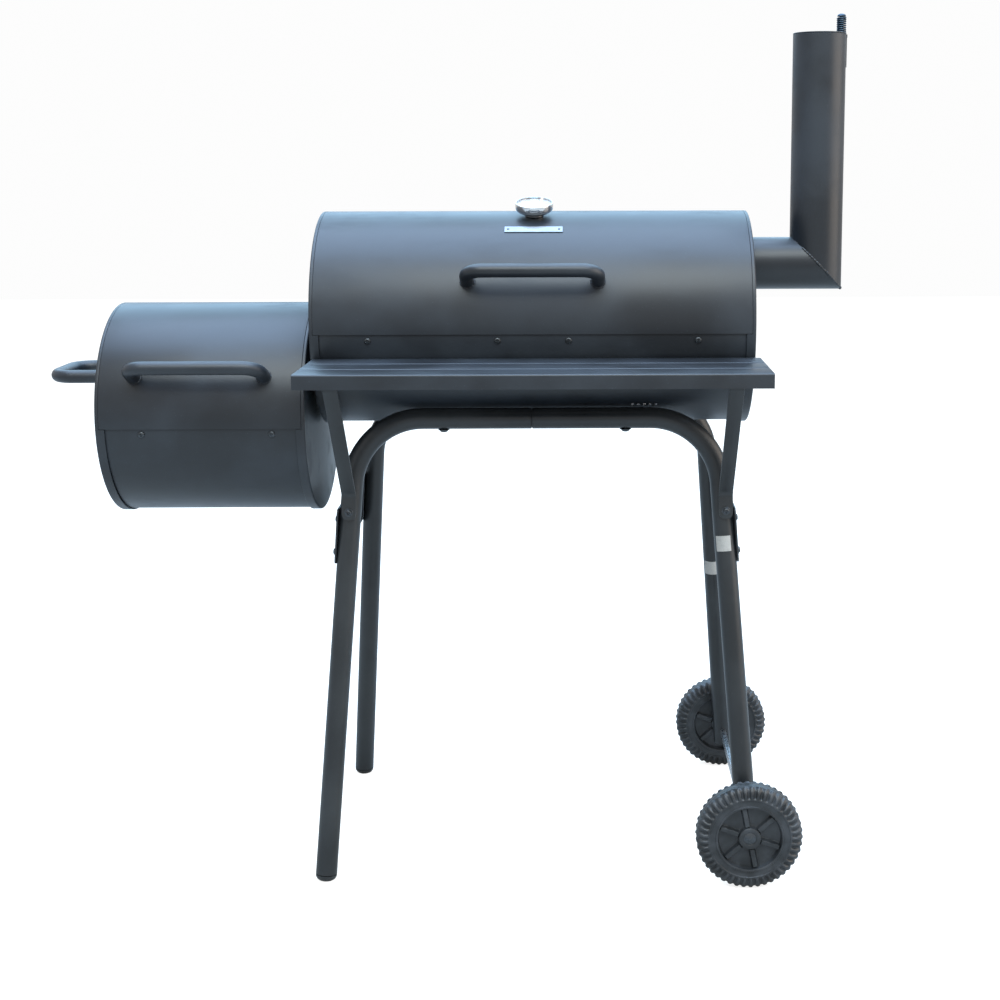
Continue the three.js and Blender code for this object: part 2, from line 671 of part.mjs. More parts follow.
// Bracket on the pipe's side that carries the flap's pivot bolt.
const stackAxis = (height) => vector(stack.x, 0, height);
const pivotAxis = (height) => vector(flapPivot.x, flapPivot.y, height);
const bracketTop = stack.top - GAP;
const bracketInner = stack.radius + GAP;
const bracketOutline = new THREE.Shape();
const bracketFrom = degrees(bracket.from);
const bracketTo = degrees(bracket.to);
bracketOutline.absarc(0, 0, bracketInner + bracket.thickness, bracketFrom, bracketTo, false);
bracketOutline.absarc(0, 0, bracketInner, bracketTo, bracketFrom, true);
const bracketOptions = { depth: bracket.height, bevelEnabled: false, curveSegments: 4 };
const bracketWrap = new THREE.ExtrudeGeometry(bracketOutline, bracketOptions)
  .translate(stack.x, 0, bracketTop - bracket.height);
const lugFoot = pivotAxis(bracketTop - bracket.lugThickness);
const lug = rod(lugFoot, pivotAxis(bracketTop), flapPivot.lugRadius, CASE_SIDES);
const pivotHoleRadius = flapPivot.boltRadius + GAP;
const pivotHole = rod(pivotAxis(bracketTop - 20), pivotAxis(bracketTop + 20), pivotHoleRadius, 12);
const pipeSpace = rod(stackAxis(bracketTop - 80), stackAxis(bracketTop + 10), bracketInner, WHEEL_SIDES);
addPart("flap_bracket", cut(join(bracketWrap, lug), pipeSpace, pivotHole), satinBlackPaint);

// Round flap that swivels over the mouth of the pipe.
const flapBase = stack.top + GAP;
const flapTop = flapBase + PLATE;
const flapDisc = rod(stackAxis(flapBase), stackAxis(flapTop), stack.radius, PIPE_SIDES);
const flapEar = rod(pivotAxis(flapBase), pivotAxis(flapTop), flapPivot.lugRadius, CASE_SIDES);
addPart("stack_flap", cut(join(flapDisc, flapEar), pivotHole), satinBlackPaint);

const springTop = flapTop + GAP + flapPivot.springLength;
const boltRadius = flapPivot.boltRadius;
const boltProfile = [
  [0, bracketTop - 10], [boltRadius, bracketTop - 9.5], [boltRadius, springTop + GAP],
  [6.2, springTop + GAP], [6.2, springTop + 2.4], [4.4, springTop + 4], [0, springTop + 4.6],
];
addPart("flap_pivot_bolt", turned(boltProfile, pivotAxis(0), vector(0, 0, 1), FIXING_SIDES), brightSteel);

// Close-wound spring, drawn as a ribbed sleeve.
const springBore = 4.3;
const coilValley = 6.2;
const coilCrest = 7.2;
const coilPitch = flapPivot.springLength / flapPivot.coils;
const springProfile = [[springBore, flapTop + GAP]];
for (let i = 0; i < flapPivot.coils; i += 1) {
  const base = flapTop + GAP + i * coilPitch;
  springProfile.push([coilValley, base], [coilCrest, base + coilPitch / 2]);
}
springProfile.push([coilValley, springTop], [springBore, springTop], [springBore, flapTop + GAP]);
addPart("flap_spring", turned(springProfile, pivotAxis(0), vector(0, 0, 1), FIXING_SIDES), brightSteel);

// ---------------------------------------------------------------- stand

// Centre line of a leg at a height: side -1 or 1 for left or right, and for front or rear.
function legPoint(sideX, sideY, height) {
  const share = height / stand.barHeight;
  return vector(stand.centreX + sideX * (stand.groundX + (stand.cornerX - stand.groundX) * share),
    sideY * (stand.groundY + (stand.barY - stand.groundY) * share), height);
}

// A round plug clears the flats of the faceted tube that it goes into.
const plugRadius = (stand.tubeRadius - stand.wall) * Math.cos(Math.PI / TUBE_SIDES) - GAP;
const LEFT_LEG_END = 8; // height where a left leg's tube ends above the ground
const RIGHT_LEG_END = 52;
const axleHeight = wheel.radius;
const axleX = legPoint(1, 1, axleHeight).x;
const axleBore = rod(vector(axleX, -300, axleHeight), vector(axleX, 300, axleHeight), AXLE_RADIUS + 0.4);

// Half of a bent frame: a leg, a bend and half of the top bar.
function frameHalf(sideX, sideY) {
  const end = legPoint(sideX, sideY, sideX < 0 ? LEFT_LEG_END : RIGHT_LEG_END);
  const corner = legPoint(sideX, sideY, stand.barHeight);
  const barEnd = vector(stand.jointX + sideX * GAP, sideY * stand.barY, stand.barHeight);
  const tube = bentTube([end, corner, barEnd], stand.tubeRadius, stand.wall, stand.bendRadius, 7);
  if (sideX > 0) {
    return cut(tube, axleBore);
  }
  const inside = stand.tubeRadius - stand.wall;
  const plug = [
    [plugRadius - 1.5, -26], [inside + 0.7, -26], [inside + 0.7, -4], [plugRadius, -1], [plugRadius, 32],
    [plugRadius - 1.5, 32], [plugRadius - 1.5, -26],
  ];
  const joint = vector(stand.jointX, sideY * stand.barY, stand.barHeight);
  return join(tube, turned(plug, joint, vector(1, 0, 0), PLUG_SIDES));
}

addPart("front_left_leg", frameHalf(-1, -1), standPaint);
addPart("front_right_leg", frameHalf(1, -1), standPaint);
addPart("rear_left_leg", frameHalf(-1, 1), standPaint);
addPart("rear_right_leg", frameHalf(1, 1), standPaint);

// Rounded plug in a left leg, with a flat cut where it stands on the ground.
function footPlug(sideY) {
  const up = legPoint(-1, sideY, 100).sub(legPoint(-1, sideY, 0)).normalize();
  const outer = stand.tubeRadius;
  const profile = [
    [0, -10], [outer - 5, -8.5], [outer - 1.2, -5], [outer, -GAP], [plugRadius, -GAP], [plugRadius, 18],
    [0, 18],
  ];
  const plug = turned(profile, legPoint(-1, sideY, LEFT_LEG_END), up, PLUG_SIDES);
  return keepInside(plug, box(vector(-500, -500, 0), vector(500, 500, 100)));
}
addPart("front_foot_plug", footPlug(-1), blackPlastic);
addPart("rear_foot_plug", footPlug(1), blackPlastic);

// Flat plate on the outside of the front and rear legs of one side.
function sidePlate(sideX) {
  const lean = Math.atan2(stand.groundX - stand.cornerX, stand.barHeight);
  const centre = legPoint(sideX, 1, sideBoard.height);
  const offset = stand.tubeRadius + GAP + sideBoard.thickness / 2;
  return new THREE.BoxGeometry(sideBoard.thickness, sideBoard.depth, sideBoard.tall)
    .rotateY(-sideX * lean)
    .translate(centre.x + sideX * offset / Math.cos(lean), 0, centre.z);
}
addPart("left_side_plate", sidePlate(-1), standPaint);
addPart("right_side_plate", sidePlate(1), standPaint);

// Bent flat bar: along the front of a leg, forwards to the shelf, back under it to the barrel.
function shelfSupport(centreX) {
  const { foot, bend, front, thickness, halfWidth } = support;
  const clear = stand.tubeRadius + 2 * GAP + thickness / 2;
  const frontOfLeg = (height) => legPoint(1, -1, height).y - clear;
  const under = shelf.top - shelf.depth - GAP - thickness / 2;
  const centreLine = [
    [frontOfLeg(foot), foot], [frontOfLeg(bend), bend], [front - 1, under - 5], [front, under],
    [-141.5, under], [-128.5, under - 23],
  ];
  const outline = bentStripOutline(centreLine, thickness);
  return carriedAlongX(outline, centreX - halfWidth, centreX + halfWidth);
}
addPart("left_shelf_support", shelfSupport(support.leftX), standPaint);
addPart("right_shelf_support", shelfSupport(support.rightX), standPaint);

// Channel slats of the shelf, open underneath.
["front", "middle", "rear"].forEach((name, i) => {
  const from = shelf.front + i * shelf.slatPitch;
  const to = from + shelf.slatWidth;
  const bottom = shelf.top - shelf.depth;
  const { top, wall } = shelf;
  const outline = outlineOf([
    [from, bottom], [from + wall, bottom], [from + wall, top - wall], [to - wall, top - wall],
    [to - wall, bottom], [to, bottom], [to, top], [from, top],
  ]);
  addPart(`shelf_slat_${name}`, carriedAlongX(outline, shelf.left, shelf.right), satinBlackPaint);
});

// ---------------------------------------------------------------- wheels

const outerFace = wheel.innerY + wheel.width;
const axleEnd = outerFace - 3;
const axlePoint = (y) => vector(axleX, y, axleHeight);
addPart("wheel_axle", rod(axlePoint(-axleEnd), axlePoint(axleEnd), AXLE_RADIUS, FIXING_SIDES), brightSteel);

// Turned wheel: tread, dished faces, web and hub. Distance 0 is the inner face.
function wheelSolid(sideY) {
  const { radius, width, hubRadius, boreRadius, rimDepth } = wheel;
  const rimInner = radius - 18;
  const profile = [
    [boreRadius, 2], [hubRadius, 2], [hubRadius, rimDepth + 2], [rimInner - 10, rimDepth + 2],
    [rimInner, 2], [radius - 5, 0], [radius, 5], [radius, width - 5], [radius - 5, width],
    [rimInner, width - 2], [rimInner - 10, width - rimDepth], [hubRadius, width - rimDepth],
    [hubRadius, width - 6], [boreRadius, width - 6], [boreRadius, 2],
  ];
  return turned(profile, axlePoint(sideY * wheel.innerY), vector(0, sideY, 0), WHEEL_SIDES);
}
addPart("front_wheel", wheelSolid(-1), blackPlastic);
addPart("rear_wheel", wheelSolid(1), blackPlastic);

// Push-on cap that keeps a wheel on the axle.
function axleCap(sideY) {
  const bore = AXLE_RADIUS + GAP;
  const profile = [[0, 3.6], [6, 3], [9, 1.5], [9, -2.4], [bore, -2.4], [bore, GAP], [0, GAP]];
  return turned(profile, axlePoint(sideY * axleEnd), vector(0, sideY, 0), PLUG_SIDES);
}
addPart("front_axle_cap", axleCap(-1), brightSteel);
addPart("rear_axle_cap", axleCap(1), brightSteel);

// ---------------------------------------------------------------- place the whole model

// The origin is the centre of the model's box, on the ground.
const bounds = new THREE.Box3().setFromObject(smoker);
const middle = bounds.getCenter(new THREE.Vector3());
smoker.position.set(-middle.x, -middle.y, -bounds.min.z);

export default smoker;
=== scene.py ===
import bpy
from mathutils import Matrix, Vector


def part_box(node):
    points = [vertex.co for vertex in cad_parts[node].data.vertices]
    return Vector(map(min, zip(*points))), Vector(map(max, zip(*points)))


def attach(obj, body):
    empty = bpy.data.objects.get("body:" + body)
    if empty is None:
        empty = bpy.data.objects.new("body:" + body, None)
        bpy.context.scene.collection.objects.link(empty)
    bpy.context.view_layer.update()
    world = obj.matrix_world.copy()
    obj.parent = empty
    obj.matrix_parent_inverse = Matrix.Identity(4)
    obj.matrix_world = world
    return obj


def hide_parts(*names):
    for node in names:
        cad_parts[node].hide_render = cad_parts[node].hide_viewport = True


bl_info = {
    "name": "Offset Smoker",
    "version": (1, 0, 0),
    "blender": (4, 5, 0),
    "location": "View3D > Sidebar > Smoker",
    "description": "Builds the painted, plated and moulded pieces of an offset smoker round its frame",
    "category": "Object",
}

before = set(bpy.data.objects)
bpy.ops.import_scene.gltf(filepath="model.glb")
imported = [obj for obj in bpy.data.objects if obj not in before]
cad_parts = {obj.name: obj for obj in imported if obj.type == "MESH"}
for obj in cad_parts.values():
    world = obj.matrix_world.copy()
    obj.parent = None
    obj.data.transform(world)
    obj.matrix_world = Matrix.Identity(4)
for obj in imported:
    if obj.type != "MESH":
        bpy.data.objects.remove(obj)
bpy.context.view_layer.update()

import math
from collections import namedtuple

import bmesh
import bpy
import numpy as np
from bpy.props import (
    FloatProperty,
    FloatVectorProperty,
    IntProperty,
    PointerProperty,
)
from mathutils import Matrix

MM = 0.001
WELD = 2e-6  # vertices closer than this, in metres, are one vertex

X = np.array([1.0, 0.0, 0.0])
Y = np.array([0.0, 1.0, 0.0])
Z = np.array([0.0, 0.0, 1.0])


# ---------------------------------------------------------------- places from the frame

def corners(node):
    """Lowest and highest corner of a frame node in metres, as arrays."""
    low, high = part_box(node)
    return np.array(low), np.array(high)


# Every shape below is drawn in millimetres from a point on the ground under the barrel's middle.
ORIGIN = np.array([
    (corners("barrel_left_end")[0][0] + corners("barrel_right_end")[1][0]) / 2,
    (corners("barrel_left_end")[0][1] + corners("barrel_left_end")[1][1]) / 2,
    0.0,
])


def extent(node):
    """A node's lowest and highest corner in millimetres from the barrel's ground point."""
    low, high = corners(node)
    return (low - ORIGIN) / MM, (high - ORIGIN) / MM


def middle_of(node):
    """The middle of a node's box in millimetres from the barrel's ground point."""
    low, high = extent(node)
    return (low + high) / 2


Drum = namedtuple("Drum", "left right height radius")


def drum_of(left_end, right_end):
    """A drum's faces, axis height and radius, from its two end discs."""
    (low, high), (_, far) = extent(left_end), extent(right_end)
    return Drum(low[0], far[0], (low[2] + high[2]) / 2, (high[2] - low[2]) / 2)


BARREL = drum_of("barrel_left_end", "barrel_right_end")
FIREBOX = drum_of("firebox_left_end", "firebox_right_end")
GAP = 0.3  # clearance between pieces that only rest against each other
SHEET = 1.2  # rolled sheet of lids and shells
RIM = 5.0  # full-radius rim of an end disc
SKIRT = 13.0  # how far an end disc reaches inwards
FLANGE_DROP = 1.8  # step from a lid's face down to an end disc's skirt
SHELL_DROP = 2.4  # step from a lid's face down to a shell's face
SHELL_INSET = 1.9  # a shell's ends lie this far inside the end discs' faces
LID_FROM, LID_TO = 8.0, 183.2  # degrees from the back, over the top
SHELL_FROM, SHELL_TO = 177.0, 366.5  # the shell laps under both edges of the lid
DRUM_STEPS = 150  # steps round a rolled sheet
HANDLE_RADIUS = 9.5
SMOKE_HOLE_RADIUS = 50.0
LEG_RADIUS = 15.0
BAR_HEIGHT = 650.0  # centre line of the stand's top bars
BAR_OUT = 104.0  # and how far it is from the middle, to the front and to the rear
BAR_JOINT = -4.0  # where the two halves of a top bar meet, in X
STAND_MIDDLE = 2.5  # in X
LEG_SPREAD, LEG_LEAN = 302.5, 48.0  # a foot's distance from the stand's middle, and how far it leans in
FOOT_OUT = 89.0  # how much further out than the bar a foot is, to the front and to the rear
PLATE_SHEET = 2.5
STRAP_OFF = 1.8  # from a leg's front to the middle of a shelf strap's sheet


# ---------------------------------------------------------------- sizes and colours a user may change

def linear(code):
    """An sRGB hex colour as linear red, green, blue and alpha."""
    part = np.array([int(code[i:i + 2], 16) for i in (1, 3, 5)]) / 255
    value = np.where(part <= 0.04045, part / 12.92, ((part + 0.055) / 1.055) ** 2.4)
    return (*value.tolist(), 1.0)


def colour(name, description, code):
    """A colour a user may change, from an sRGB hex code."""
    return FloatVectorProperty(name=name, description=description, default=linear(code),
                               size=4, min=0, max=1, subtype="COLOR")


def length(name, description, millimetres):
    """A length a user may change, given in millimetres."""
    return FloatProperty(name=name, description=description, default=millimetres * MM,
                         unit="LENGTH", precision=4)


class SmokerFinishes(bpy.types.PropertyGroup):
    """Colours of the finishes, and the spacing of their grain"""
    paint_dark: colour("Paint, dark", "Heat-resistant paint where it lies thick", "#171b20")
    paint_light: colour("Paint, light", "Heat-resistant paint where it lies thin or dusty", "#262c33")
    stand_dark: colour("Stand paint, dark", "Powder coat of the stand where it lies thick", "#191c1f")
    stand_light: colour("Stand paint, light", "Powder coat of the stand where it lies thin", "#272b2e")
    plastic_dark: colour("Wheel plastic, dark", "Moulded wheel plastic, clean", "#1f2225")
    plastic_light: colour("Wheel plastic, light", "Moulded wheel plastic, dusty", "#363a3f")
    zinc: colour("Zinc", "Zinc-plated screws, pins and axle", "#b9bdc2")
    chrome: colour("Chrome", "Chromed thermometer case", "#b9bdc1")
    aluminium: colour("Aluminium", "Brushed name plate", "#8d9196")
    dial: colour("Dial", "Enamelled dial face", "#8f918e")
    pointer: colour("Pointer", "Lacquered pointer", "#b0281f")
    wire: colour("Wire", "Seasoned steel wire of the grates", "#2a2724")
    tray: colour("Tray", "Mill-finish steel of the charcoal tray", "#5d6064")
    foot: colour("Foot plug", "Moulded polyethylene foot plug", "#232629")
    paper: colour("Paper", "Paper parts label", "#adadab")
    spring: colour("Spring", "Blued spring wire", "#3a4652")
    oxide: colour("Oxide", "Black oxide on screws, bolts and push caps", "#585c60")
    floor: colour("Floor", "Pale floor", "#a9a9a6")
    paint_grain: length("Paint grain", "Spacing of the paint's orange peel", 1.6)
    plastic_grain: length("Plastic grain", "Spacing of the wheel mould's texture", 0.9)
    brush_spacing: length("Brush spacing", "Spacing of the brush lines on the name plate", 0.35)


class SmokerSizes(bpy.types.PropertyGroup):
    """Sizes of small details; the frame gives the others"""
    sheet_edge: length("Sheet edge", "Rounding of cut sheet edges", 0.35)
    slat_bend: length("Slat bend", "Outer bend radius of a shelf slat", 2.6)
    screw_radius: length("Screw head radius", "Radius of a pan-head screw", 4.6)
    bolt_radius: length("Bolt head radius", "Radius of a frame bolt's head", 6.0)
    weld_radius: length("Weld radius", "Radius of the weld bead at the stack's mitre", 1.7)
    wire_radius: length("Grate wire radius", "Radius of a grate's cross wires", 2.0)
    tread_lugs: IntProperty(name="Tread lugs", description="Lugs round a wheel", default=45, min=12)
    wheel_spokes: IntProperty(name="Spokes", description="Spokes of a wheel", default=6, min=3)
    spoke_turn: FloatProperty(name="Spoke turn", description="Angle of the first spoke",
                              default=math.radians(41), subtype="ANGLE")


class SmokerStage(bpy.types.PropertyGroup):
    """Camera, panels and surround"""
    lens: FloatProperty(name="Lens", description="Camera lens in millimetres", default=54.28)
    shift_x: FloatProperty(name="Shift X", description="Camera shift across", default=-0.0935)
    shift_y: FloatProperty(name="Shift Y", description="Camera shift up", default=-0.1104)
    camera_place: FloatVectorProperty(name="Camera place", description="Camera from the barrel's ground point",
                                      default=(0.065766, -2.216814, 1.011680), subtype="TRANSLATION")
    pitch: FloatProperty(name="Pitch", description="Camera tilt below level",
                         default=0.150822, subtype="ANGLE")
    yaw: FloatProperty(name="Yaw", description="Camera turn to the right", default=0.008476, subtype="ANGLE")
    roll: FloatProperty(name="Roll", description="Camera roll", default=-0.002489, subtype="ANGLE")
    back_power: FloatProperty(name="Back panel", description="Watts of the cool panel high behind", default=212)
    top_power: FloatProperty(name="Top panel", description="Watts of the cool panel overhead", default=333)
    front_power: FloatProperty(name="Front panel", description="Watts of the panel above the front", default=140)
    side_power: FloatProperty(name="Side panel", description="Watts of the warm panel on the right", default=88)
    fill: FloatProperty(name="Surround", description="Strength of the pale surround", default=0.72)


# ---------------------------------------------------------------- numpy surfaces

def unit(vectors):
    """Vectors at length one."""
    return vectors / np.linalg.norm(vectors, axis=-1, keepdims=True)


def cross_frame(axis, reference=None):
    """Two unit vectors square to an axis; the first lies as near the reference as it can."""
    axis = unit(np.asarray(axis, float))
    guess = np.asarray(reference if reference is not None else (Z if abs(axis[2]) < 0.9 else X), float)
    first = unit(guess - axis * guess.dot(axis))
    return first, np.cross(axis, first)


def around(count, start=0.0):
    """Evenly spaced angles of a whole turn, in radians."""
    return start + np.arange(count) * (2 * np.pi / count)


def smoothstep(value, low, high):
    """0 below low, 1 above high, and 3t^2 - 2t^3 between them."""
    t = np.clip((value - low) / (high - low), 0, 1)
    return t * t * (3 - 2 * t)


def lattice(points, wrap_u=False, wrap_v=False, caps=False):
    """Quads over points[u, v]; a wrapped direction closes on itself, caps fill the first and last ring."""
    index = np.arange(points.shape[0] * points.shape[1]).reshape(points.shape[:2])
    ends = [index[0].tolist(), index[-1][::-1].tolist()] if caps else []
    if wrap_u:
        index = np.concatenate([index, index[:1]])
    if wrap_v:
        index = np.concatenate([index, index[:, :1]], axis=1)
    quads = np.stack([index[:-1, :-1], index[1:, :-1], index[1:, 1:], index[:-1, 1:]], axis=-1)
    return points.reshape(-1, 3), quads.reshape(-1, 4), ends


def rounded_loop(low, high, radius, steps=3):
    """A closed rectangle outline with quarter-circle corners: centre + radius (cos t, sin t)."""
    (a0, b0), (a1, b1) = low, high
    centres = np.array([[a1 - radius, b1 - radius], [a0 + radius, b1 - radius],
                        [a0 + radius, b0 + radius], [a1 - radius, b0 + radius]])
    turn = np.linspace(0, np.pi / 2, steps + 1)[None, :] + (np.arange(4) * np.pi / 2)[:, None]
    arc = radius * np.stack([np.cos(turn), np.sin(turn)], axis=-1)
    return (centres[:, None, :] + arc).reshape(-1, 2)


def revolved(profile, base, axis, sides=64, reference=None, start=0.0, sweep=360.0, closed_profile=False):
    """A profile of (distance, radius) turned about a line: base + d axis + r (cos a first + sin a second)."""
    profile = np.asarray(profile, float)
    axis = unit(np.asarray(axis, float))
    first, second = cross_frame(axis, reference)
    whole = abs(sweep) >= 360
    turn = around(sides) if whole else np.radians(np.linspace(start, start + sweep, sides))
    spoke = np.cos(turn)[:, None] * first + np.sin(turn)[:, None] * second
    points = (np.asarray(base, float) + profile[None, :, :1] * axis
              + profile[None, :, 1:2] * spoke[:, None, :])
    return lattice(points, wrap_u=whole, wrap_v=closed_profile, caps=not whole)


def drum_sheet(drum, left, right, outer, inner, start, end, steps=96, edge=0.35):
    """A sheet section (x, radius) swept about a drum's axis; angles in degrees from the back, over the top."""
    section = rounded_loop((left, inner), (right, outer), edge)
    return revolved(section, (0, 0, drum.height), X, steps, reference=Y, start=start,
                    sweep=end - start, closed_profile=True)


def bent_path(corners_, radii, steps=10):
    """Straight runs joined by round bends: at each corner an arc of its radius, tangent to both runs."""
    corners_ = [np.asarray(c, float) for c in corners_]
    radii = list(radii) if np.ndim(radii) else [radii] * (len(corners_) - 2)
    runs = [unit(b - a) for a, b in zip(corners_[:-1], corners_[1:])]
    points, headings = [corners_[0][None]], [runs[0][None]]
    for into, out, corner, radius in zip(runs[:-1], runs[1:], corners_[1:-1], radii):
        turn = math.acos(np.clip(into.dot(out), -1, 1))
        inwards = unit(out - into)
        centre = corner + inwards * radius / math.cos(turn / 2)
        spoke = corner - into * radius * math.tan(turn / 2) - centre
        angle = np.linspace(0, turn, steps + 1)[:, None]
        points.append(centre + spoke * np.cos(angle) + into * radius * np.sin(angle))
        headings.append(into * np.cos(angle) - unit(spoke) * np.sin(angle))
    points.append(corners_[-1][None])
    headings.append(runs[-1][None])
    points, headings = np.concatenate(points), np.concatenate(headings)
    normal = np.cross(runs[0], runs[-1]) if len(runs) > 1 else cross_frame(runs[0])[0]
    if np.linalg.norm(normal) < 1e-6:
        normal = np.cross(runs[0], runs[1])
    return points, headings, unit(normal)


def tube(path, radius, sides=32, start=((0, 0), (0, 0.8), (1.0, 1.0)), end=None, wrap=False):
    """A circle carried along a plane path: point + r s (cos t side + sin t normal).

    start and end are (distance, scale) stations that close the two ends."""
    points, headings, normal = path
    scale = np.ones(len(points))
    if not wrap:
        first = np.asarray(start, float)
        last = np.asarray(end if end is not None else start, float)[::-1]
        points = np.concatenate([points[:1] + headings[:1] * first[:, :1], points[1:-1],
                                 points[-1:] - headings[-1:] * last[:, :1]])
        headings = np.concatenate([headings[:1].repeat(len(first), 0), headings[1:-1],
                                   headings[-1:].repeat(len(last), 0)])
        scale = np.concatenate([first[:, 1], np.ones(len(points) - len(first) - len(last)), last[:, 1]])
    side = unit(np.cross(headings, normal))
    turn = around(sides)
    ring = (np.cos(turn)[None, :, None] * side[:, None, :]
            + np.sin(turn)[None, :, None] * np.asarray(normal)[None, None, :])
    return lattice(points[:, None, :] + radius * scale[:, None, None] * ring, wrap_u=wrap, wrap_v=True)


def strip(path, low, high, thickness, edge=None, taper=None):
    """A flat bar with rounded edges carried along a plane path: point + w width + h thickness direction."""
    points, headings, normal = path
    edge = thickness * 0.3 if edge is None else edge
    section = rounded_loop((low, -thickness / 2), (high, thickness / 2), edge, 2)
    across = unit(np.cross(headings, normal))
    width = np.repeat(section[None, :, 0], len(points), 0)
    if taper is not None:
        middle = (low + high) / 2
        width = middle + (width - middle) * np.asarray(taper)[:, None]
    solid = (points[:, None, :] + width[..., None] * np.asarray(normal)
             + section[None, :, 1:2] * across[:, None, :])
    return lattice(solid, wrap_v=True, caps=True)


def plate(outline, base, u, v, thickness, edge=0.3, steps=2):
    """A flat plate from an outline seen along u and v, rising by thickness, its edges a quarter circle.

    The edge moves each outline point inwards along its normal by e(1 - cos t) as it rises by e sin t."""
    outline = np.asarray(outline, float)
    u, v = unit(np.asarray(u, float)), unit(np.asarray(v, float))
    out = np.cross(u, v)
    ahead, behind = np.roll(outline, -1, 0) - outline, outline - np.roll(outline, 1, 0)
    along = unit(unit(ahead) + unit(behind))
    outward = np.stack([along[:, 1], -along[:, 0]], axis=1)
    t = np.linspace(0, np.pi / 2, steps + 1)
    inset = np.concatenate([edge * (1 - np.cos(t[::-1])), edge * (1 - np.cos(t))])
    rise = np.concatenate([edge * (1 - np.sin(t[::-1])), thickness - edge * (1 - np.sin(t))])
    rings = outline[None] - outward[None] * inset[:, None, None]
    middle = outline.mean(0)
    rings = np.concatenate([np.broadcast_to(middle, (1, *outline.shape)), rings,
                            np.broadcast_to(middle, (1, *outline.shape))])
    rise = np.concatenate([[0], rise, [thickness]])
    points = (np.asarray(base, float) + rings[..., :1] * u + rings[..., 1:] * v
              + rise[:, None, None] * out)
    return lattice(points, wrap_v=True)


def disc_outline(radius, sides=64):
    """A circle's points: r (cos a, sin a)."""
    turn = around(sides)
    return radius * np.stack([np.cos(turn), np.sin(turn)], axis=1)


def screw_head(base, axis, radius, rise, reference=None, cross=True):
    """A domed head: height rise (1 - (r/R)^2)^0.5, less a cross-shaped recess near the middle."""
    axis = unit(np.asarray(axis, float))
    first, second = cross_frame(axis, reference)
    share = np.concatenate([np.linspace(0, 0.66, 9), np.linspace(0.76, 1.0, 5)])[:, None]
    turn = around(32)[None, :]
    across, up = share * np.cos(turn) * radius, share * np.sin(turn) * radius
    height = rise * np.sqrt(np.clip(1 - share ** 2, 0, 1)) ** 0.8 + 0 * turn
    if cross:
        arm, reach = radius * 0.13, radius * 0.56
        thin = np.minimum(np.abs(across), np.abs(up))
        far = np.maximum(np.abs(across), np.abs(up))
        height = height - rise * 0.55 * (1 - smoothstep(thin, arm, arm * 1.9)) * (
            1 - smoothstep(far, reach * 0.85, reach))
    height = height + rise * 0.15
    rings = np.stack([across, up, height], axis=-1)
    foot = np.stack([radius * np.cos(turn[0]), radius * np.sin(turn[0]), 0 * turn[0] - 0.4], axis=-1)
    rings = np.concatenate([rings, foot[None], foot[None] * np.array([0.0, 0.0, 1.0])])
    points = (np.asarray(base, float) + rings[..., :1] * first + rings[..., 1:2] * second
              + rings[..., 2:] * axis)
    return lattice(points, wrap_v=True)


def washer(base, axis, outer, thickness=1.0):
    """A flat ring drawn as a low disc with rounded edges."""
    profile = [(0, 0), (0, outer - 0.2), (0.2, outer), (thickness - 0.3, outer),
               (thickness, outer - 0.3), (thickness, 0)]
    return revolved(profile, base, axis, 36)


def weld_bead(centre, u, v, radius, bead, seed, ripples=70, sides=10, steps=240):
    """A bead carried round an ellipse; its radius is bead (1 + 0.22 sin(n a) + slow waves)."""
    waves = np.random.default_rng(seed)
    turn = around(steps)[:, None]
    u, v = np.asarray(u, float), np.asarray(v, float)
    path = np.asarray(centre, float) + radius * (np.cos(turn) * u + np.sin(turn) * v)
    heading = unit(-np.sin(turn) * u + np.cos(turn) * v)
    normal = unit(np.cross(u, v))
    side = unit(np.cross(heading, normal))
    slow = sum(0.14 * np.sin(k * turn + waves.uniform(0, 6.3)) for k in (3, 7, 13, 19))
    size = bead * (1 + 0.22 * np.sin(ripples * turn) + slow)
    ring = around(sides)
    solid = path[:, None, :] + size[..., None] * (
        np.cos(ring)[None, :, None] * side[:, None, :] + np.sin(ring)[None, :, None] * normal)
    return lattice(solid, wrap_u=True, wrap_v=True)


def merged_mesh(name, parts):
    """One mesh of several lattices: doubles merged, faces turned outwards."""
    vertices, faces, offset = [], [], 0
    for points, quads, ends in parts:
        vertices.append(points)
        faces += (quads + offset).tolist()
        faces += [[i + offset for i in end] for end in ends]
        offset += len(points)
    mesh = bpy.data.meshes.new(name)
    mesh.from_pydata(ORIGIN + np.concatenate(vertices) * MM, [], faces)
    work = bmesh.new()
    work.from_mesh(mesh)
    bmesh.ops.remove_doubles(work, verts=work.verts, dist=WELD)
    bmesh.ops.dissolve_degenerate(work, dist=WELD, edges=work.edges)
    bmesh.ops.recalc_face_normals(work, faces=work.faces)
    work.to_mesh(mesh)
    work.free()
    return mesh


def cut_away(mesh, parts):
    """Takes the parts' volume out of a mesh."""
    piece = bpy.data.objects.new("cut_piece", mesh)
    cutter = bpy.data.objects.new("cutter", merged_mesh("cutter", parts))
    for item in (piece, cutter):
        bpy.context.scene.collection.objects.link(item)
    hole = piece.modifiers.new("hole", "BOOLEAN")
    hole.object, hole.operation, hole.solver = cutter, "DIFFERENCE", "EXACT"
    bpy.context.view_layer.update()
    depsgraph = bpy.context.evaluated_depsgraph_get()
    result = bpy.data.meshes.new_from_object(piece.evaluated_get(depsgraph))
    for item in (piece, cutter):
        bpy.data.objects.remove(item)
    return result


